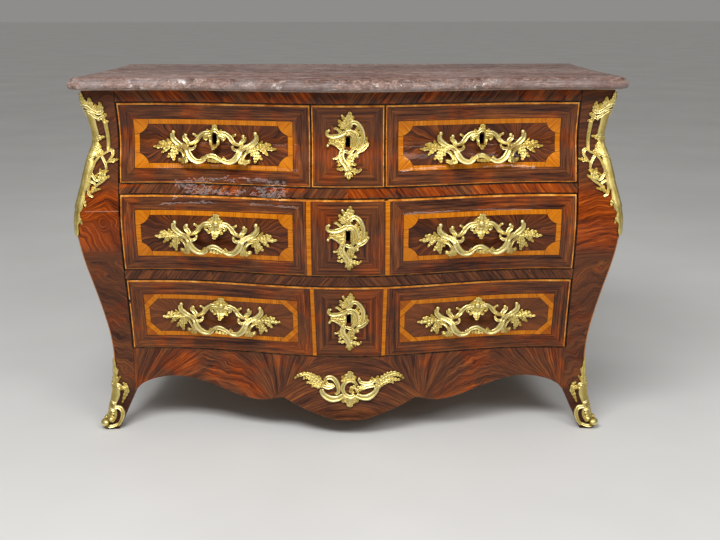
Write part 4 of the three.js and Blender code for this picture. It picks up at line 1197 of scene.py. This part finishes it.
# The pendant mount of the apron is cast in gilt bronze too: two wings, an open scroll in the middle,
# leaves above and below. It is pinned to the apron's middle.
pendant_height = 0.127
pendant = [
    leaf([(-63, 1), (-71, 16), (-88, 27), (-109, 34), (-124, 31), (-137, 21)], 14.2, 17.7, 4.7),
    leaf([(-70, 20), (-74, 27), (-76, 33)], 9.4, 9.4, 3.5),
    leaf([(-82, 26), (-87, 33), (-90, 37)], 9.4, 9.4, 3.5),
    leaf([(-94, 30), (-99, 36), (-103, 39)], 9.4, 9.4, 3.5),
    leaf([(-106, 33), (-111, 37), (-116, 38)], 8.3, 8.3, 3.5),
    leaf([(-68, 6), (-86, 18), (-104, 26), (-116, 21)], 11.8, 13, 4.7),
    leaf([(-70, 3), (-88, 12), (-102, 14), (-107, 10)], 11.8, 11.8, 4.7),
    leaf([(-72, 2), (-86, 7), (-95, 3)], 10.6, 11.8, 4.7),
    scroll([(-70, -2), (-62, -17), (-46, -26), (-28, -25), (-14, -16)], 13, 17.7, 13),
    scroll([(-57, 15), (-58, 25), (-45, 29), (-33, 20), (-27, 5), (-27, -8), (-36, -15)], 9.4, 13, 8.3),
    scroll([(-57, 16), (-52, 11), (-44, 10), (-38, 12)], 8.3, 9.4, 5.9),
    scroll([(-66, 8), (-54, 3), (-42, 5), (-35, 9)], 9.4, 10.6, 5.9),
    scroll([(20, 8), (13, 18), (0, 21), (-12, 13), (-16, 0), (-10, -14), (3, -20),
        (15, -15)], 8.3, 11.8, 9.4),
    leaf([(17, 6), (8, 2), (5, -6), (13, -13)], 9.4, 13, 7.1),
    leaf([(2, 19), (2, 33), (5, 46)], 28.3, 28.3, 9.4), leaf([(-6, 20), (-14, 28), (-18, 34)], 13, 11.8, 4.7),
    leaf([(-8, 17), (-15, 20), (-21, 21)], 9.4, 9.4, 3.5), leaf([(8, 20), (14, 27), (17, 33)], 13, 10.6, 4.7),
    leaf([(3, -20), (2, -33), (1, -47)], 30.7, 30.7, 8.3),
    leaf([(-6, -21), (-14, -30), (-18, -36)], 15.3, 13, 4.7),
    leaf([(12, -21), (19, -29), (21, -36)], 15.3, 13, 4.7),
    leaf([(17, -16), (24, -23), (27, -28)], 13, 10.6, 4.7),
    scroll([(17, -16), (32, -22), (48, -22), (61, -13), (69, 0), (63, 8)], 13, 17.7, 10.6),
    leaf([(16, -8), (26, 0), (36, 1), (41, -3)], 14.2, 16.5, 5.9),
    scroll([(28, 8), (34, 4), (48, 6), (63, 8)], 8.3, 10.6, 8.3),
    scroll([(24, 26), (28, 18), (40, 14), (54, 15), (62, 20)], 8.3, 10.6, 9.4), bead(25, 26, 3.4),
    leaf([(53, 15), (57, 24), (56, 31)], 10.6, 10.6, 3.5),
    leaf([(60, 17), (70, 24), (71, 33)], 14.2, 14.2, 4.7),
    leaf([(67, 0), (76, 16), (91, 28), (112, 35), (127, 30), (137, 20)], 14.2, 20.1, 4.7),
    leaf([(70, 2), (84, 12), (99, 17), (112, 11)], 13, 14.2, 4.7),
    leaf([(88, 20), (104, 22), (117, 20), (128, 19)], 11.8, 13, 4.7),
]
piece = casting("apron_mount", pendant, on_front(pendant_height))
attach(piece, "case")
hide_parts("apron_mount")

# The corner mounts and the shoes of the front feet are gilt bronze, wrapped round the arris of the
# posts and pinned. Distances across are measured round the corner from the arris: what is listed
# lies on the front, and its mirror image on the side. Heights are from the floor.
corner_ground = 1.6
chute_spine = [
    plain([(0, 812), (0, 790), (0, 765), (0, 738)], 40, 29, 30),
    leaf([(0, 752), (0, 728), (0, 698)], 22, 38, 34, rise=0.7, lobe=16),
    scroll([(-16, 698), (0, 704), (16, 698)], 5, 7, 5), scroll([(-16, 690), (0, 696), (16, 690)], 5, 7, 5),
    leaf([(0, 700), (0, 660), (0, 620), (0, 580)], 34, 40, 26, rise=0.8, lobe=40),
    leaf([(0, 600), (0, 575), (0, 545), (0, 511)], 30, 24, 8, rise=0.8, lobe=30),
]
chute_half = [
    scroll([(-4, 822), (8, 817), (17, 808), (27, 802), (39, 806)], 11, 11, 8),
    scroll([(-4, 808), (8, 804), (16, 795), (25, 790), (36, 794)], 9, 10, 7),
    leaf([(0, 818), (1, 834), (-4, 850)], 19, 19, 4), leaf([(13, 814), (18, 827), (20, 841)], 19, 17, 4),
    leaf([(24, 806), (28, 815), (30, 825)], 15, 13, 4), leaf([(33, 804), (38, 815), (42, 830)], 15, 14, 4),
    plain([(0, 826), (14, 819), (27, 810), (38, 810)], 14, 16, 9),
    leaf([(28.5, 794), (37.5, 796), (46.5, 801)], 12, 12, 3),
    leaf([(30.5, 783), (37.5, 782), (45.5, 782)], 11, 10, 3), bead(23, 787, 4.6),
    plain([(31.5, 795), (35.5, 780), (34.5, 764), (34.5, 745), (37.5, 725), (42.5, 712)], 11, 9, 9),
    scroll([(42.5, 716), (51.5, 712), (55.5, 703), (52.5, 694), (48.5, 684)], 8, 9, 6),
    leaf([(50.5, 691), (60.5, 690), (72.5, 693)], 9, 12, 3),
    scroll([(45.5, 716), (37.5, 709), (27.5, 703), (20.5, 691), (17.5, 676), (15.5, 660),
        (15.5, 644), (17.5, 627), (22.5, 613), (34.5, 606)], 7, 8, 5),
    leaf([(5, 736), (15.5, 743), (28.5, 746)], 12, 13, 3),
    leaf([(9, 727), (16.5, 722), (23.5, 721)], 12, 12, 3),
    leaf([(9, 718), (20.5, 712), (32.5, 708)], 13, 14, 4),
    leaf([(14.5, 705), (22.5, 703), (28.5, 706)], 9, 9, 4),
    scroll([(29.5, 702), (38.5, 692), (46.5, 681), (49.5, 670), (46.5, 659)], 6, 7, 6),
    leaf([(39.5, 645), (43.5, 658), (45.5, 670)], 15, 19, 8),
    leaf([(41.5, 655), (37.5, 664), (34.5, 673)], 8, 9, 3),
    leaf([(45.5, 660), (50.5, 664), (56.5, 668)], 9, 9, 3),
    leaf([(44.5, 652), (52.5, 651), (62.5, 653)], 9, 10, 3),
    scroll([(16.5, 664), (23.5, 654), (33.5, 645), (42.5, 648)], 6, 7, 6),
    leaf([(26.5, 652), (30.5, 657), (33.5, 663)], 7, 8, 3),
    scroll([(60.5, 656), (49.5, 644), (37.5, 635), (27.5, 624)], 4, 8, 6),
    scroll([(16.5, 645), (24.5, 641), (33.5, 636)], 5, 6, 5),
    leaf([(18.5, 611), (30.5, 621), (47.5, 625)], 8, 11, 3),
    leaf([(27.5, 622), (29.5, 630), (34.5, 636)], 7, 8, 3),
    leaf([(9, 603), (16.5, 593), (21.5, 583)], 10, 9, 3), leaf([(9, 558), (13.5, 549), (16.5, 541)], 8, 7, 2),
]
sabot_spine = [
    leaf([(0, 112), (0, 150), (0, 183)], 24, 20, 4, rise=0.7, lobe=24),
    plain([(0, 116), (0, 86), (0, 56)], 32, 38, 24), leaf([(0, 60), (0, 40), (0, 18)], 24, 28, 26, rise=0.6),
    scroll([(-14, 46), (0, 51), (14, 46)], 5, 6, 5), scroll([(-14, 64), (0, 69), (14, 64)], 5, 6, 5),
    bead(0, 19, 8.6, 1.0), bead(9, 27, 5.5), bead(-9, 27, 5.5),
]
sabot_half = [
    leaf([(6, 122), (12, 130), (17, 137)], 8, 9, 3), leaf([(5, 142), (8, 150), (10, 156)], 6, 7, 3),
    scroll([(2, 111), (12, 114), (19, 106), (16, 98)], 8, 9, 6), bead(15, 103, 4.0),
    leaf([(20, 100), (28, 106), (34, 98), (31, 84), (27, 66)], 11, 14, 3),
    leaf([(33, 102), (30, 112), (22, 119)], 9, 9, 4),
    scroll([(10, 57), (24, 55), (34, 43), (35, 25), (29, 9)], 9, 11, 9),
    scroll([(10, 54), (17, 42), (17, 28), (11, 18)], 6, 7, 7), scroll([(0, 10), (14, 9), (29, 14)], 9, 8, 8),
]


def round_corner(hand):
    """Lays a casting round a front corner of the case; hand -1 is the left."""
    def place(u, v, h):
        x, y, _ = corner_point(u * MM, min(v * MM, case_top), (corner_ground + h) * MM)
        return (hand * x, y, v * MM)
    return place


chute, sabot = chute_spine + both(chute_half), sabot_spine + both(sabot_half)
for side, hand in (("right", 1.0), ("left", -1.0)):
    for mount, shapes in (("chute", chute), ("sabot", sabot)):
        name = f"{side}_{mount}"
        turned = shapes if hand > 0 else [[list(reversed(row)) for row in rows] for rows in shapes]
        piece = casting(name, turned, round_corner(hand))
        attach(piece, "case")
        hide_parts(name)

# The floor is plain, pale and matt, with hardly visible clouds. It is there for the picture only,
# and is no part of the object.
floor_reach, floor_rough = 60.0, 0.75
shader = Shader("floor")
cloud = shader.noise(*shader.parts(), scale=1.3, detail=3)
paint = shader.tones(cloud, [(0.3, (0.60, 0.60, 0.59)), (0.7, (0.66, 0.66, 0.65))])
corners = [(x * floor_reach, y * floor_reach, 0) for x, y in ((-1, -1), (1, -1), (1, 1), (-1, 1))]
new_piece("floor", corners, [(0, 1, 2, 3)], shader.finish(paint, floor_rough), edge=0)

# The room has a bright ceiling, dim walls, and a pale wall behind. It is what the polish and the
# gilding mirror.
wall_pale, room_light = (0.36, 0.355, 0.345), 0.75
room_tones = [
    (0.0, (0.10, 0.095, 0.09)), (0.35, (0.14, 0.135, 0.13)), (0.6, (0.48, 0.47, 0.455)),
    (1.0, (0.74, 0.73, 0.71)),
]
room = Shader("room", bpy.data.worlds, "Background")
bpy.context.scene.world = room.material
_, ahead, up = room.parts("Generated")
behind = room.node("MapRange", From_Min=0.5, From_Max=0.8, Value=ahead).outputs[0]
room.feed(room.surface.inputs["Color"], room.blended(behind, room.tones(up, room_tones), wall_pale))
room.feed(room.surface.inputs["Strength"], room_light)


# The lamps are a soft key, a fill, and five narrow strips that give the polish its window
# reflections. A lamp's size is in metres and its power in watts.
def lamp(name, place, aim, width, height, power):
    data = bpy.data.lights.new(name, "AREA")
    data.shape = "RECTANGLE"
    data.size = width
    data.size_y = height
    data.energy = power
    light = bpy.data.objects.new(name, data)
    bpy.context.scene.collection.objects.link(light)
    back = np.array(place, float) - np.array(aim, float)
    back /= np.linalg.norm(back)
    side = np.cross((0, 0, 1), back)
    side /= np.linalg.norm(side)
    turned = np.column_stack([side, np.cross(back, side), back, place])
    light.matrix_world = Matrix([*turned.tolist(), (0, 0, 0, 1)])


lamp("key", (-0.9, -2.45, 3.5), (0, 0, 0.4), 2.4, 1.2, 128)
lamp("fill", (2.2, -2.8, 3.2), (0, 0, 0.3), 1.8, 1.2, 50)
strip_y, strip_turn, strip_aim_y, strip_aim_z = -2.7, 0.15, -0.26, 0.63
for name, x, z, width, height, power in (
    ("left window top", -1.50, 1.60, 0.70, 0.060, 0.7),
    ("left window middle", -1.62, 1.37, 0.50, 0.025, 0.75),
    ("left window low", -1.46, 1.21, 0.62, 0.035, 1.15),
    ("right window top", 1.44, 1.59, 0.60, 0.050, 2.2),
    ("right window low", 1.44, 0.96, 0.55, 0.030, 1.2),
):
    lamp(name, (x, strip_y, z), (x * strip_turn, strip_aim_y, strip_aim_z), width, height, power)

# The camera stands where the photographer stood, a little above the top and right of the middle,
# tilted down. Angles are in degrees and the lens in millimetres.
camera_x, camera_off, camera_z, tilt, roll = 0.0275, 2.367, 1.050, 14.90, -0.10
camera_data = bpy.data.cameras.new("camera")
camera_data.sensor_width = 36.0
camera_data.lens = 50.0
camera = bpy.data.objects.new("camera", camera_data)
bpy.context.scene.collection.objects.link(camera)
camera.matrix_world = (
    Matrix.Translation((camera_x, front_datum - camera_off, camera_z))
    @ Matrix.Rotation(math.radians(90 - tilt), 4, "X")
    @ Matrix.Rotation(math.radians(roll), 4, "Z")
)
bpy.context.scene.camera = camera
bpy.context.scene.view_settings.view_transform = "Standard"
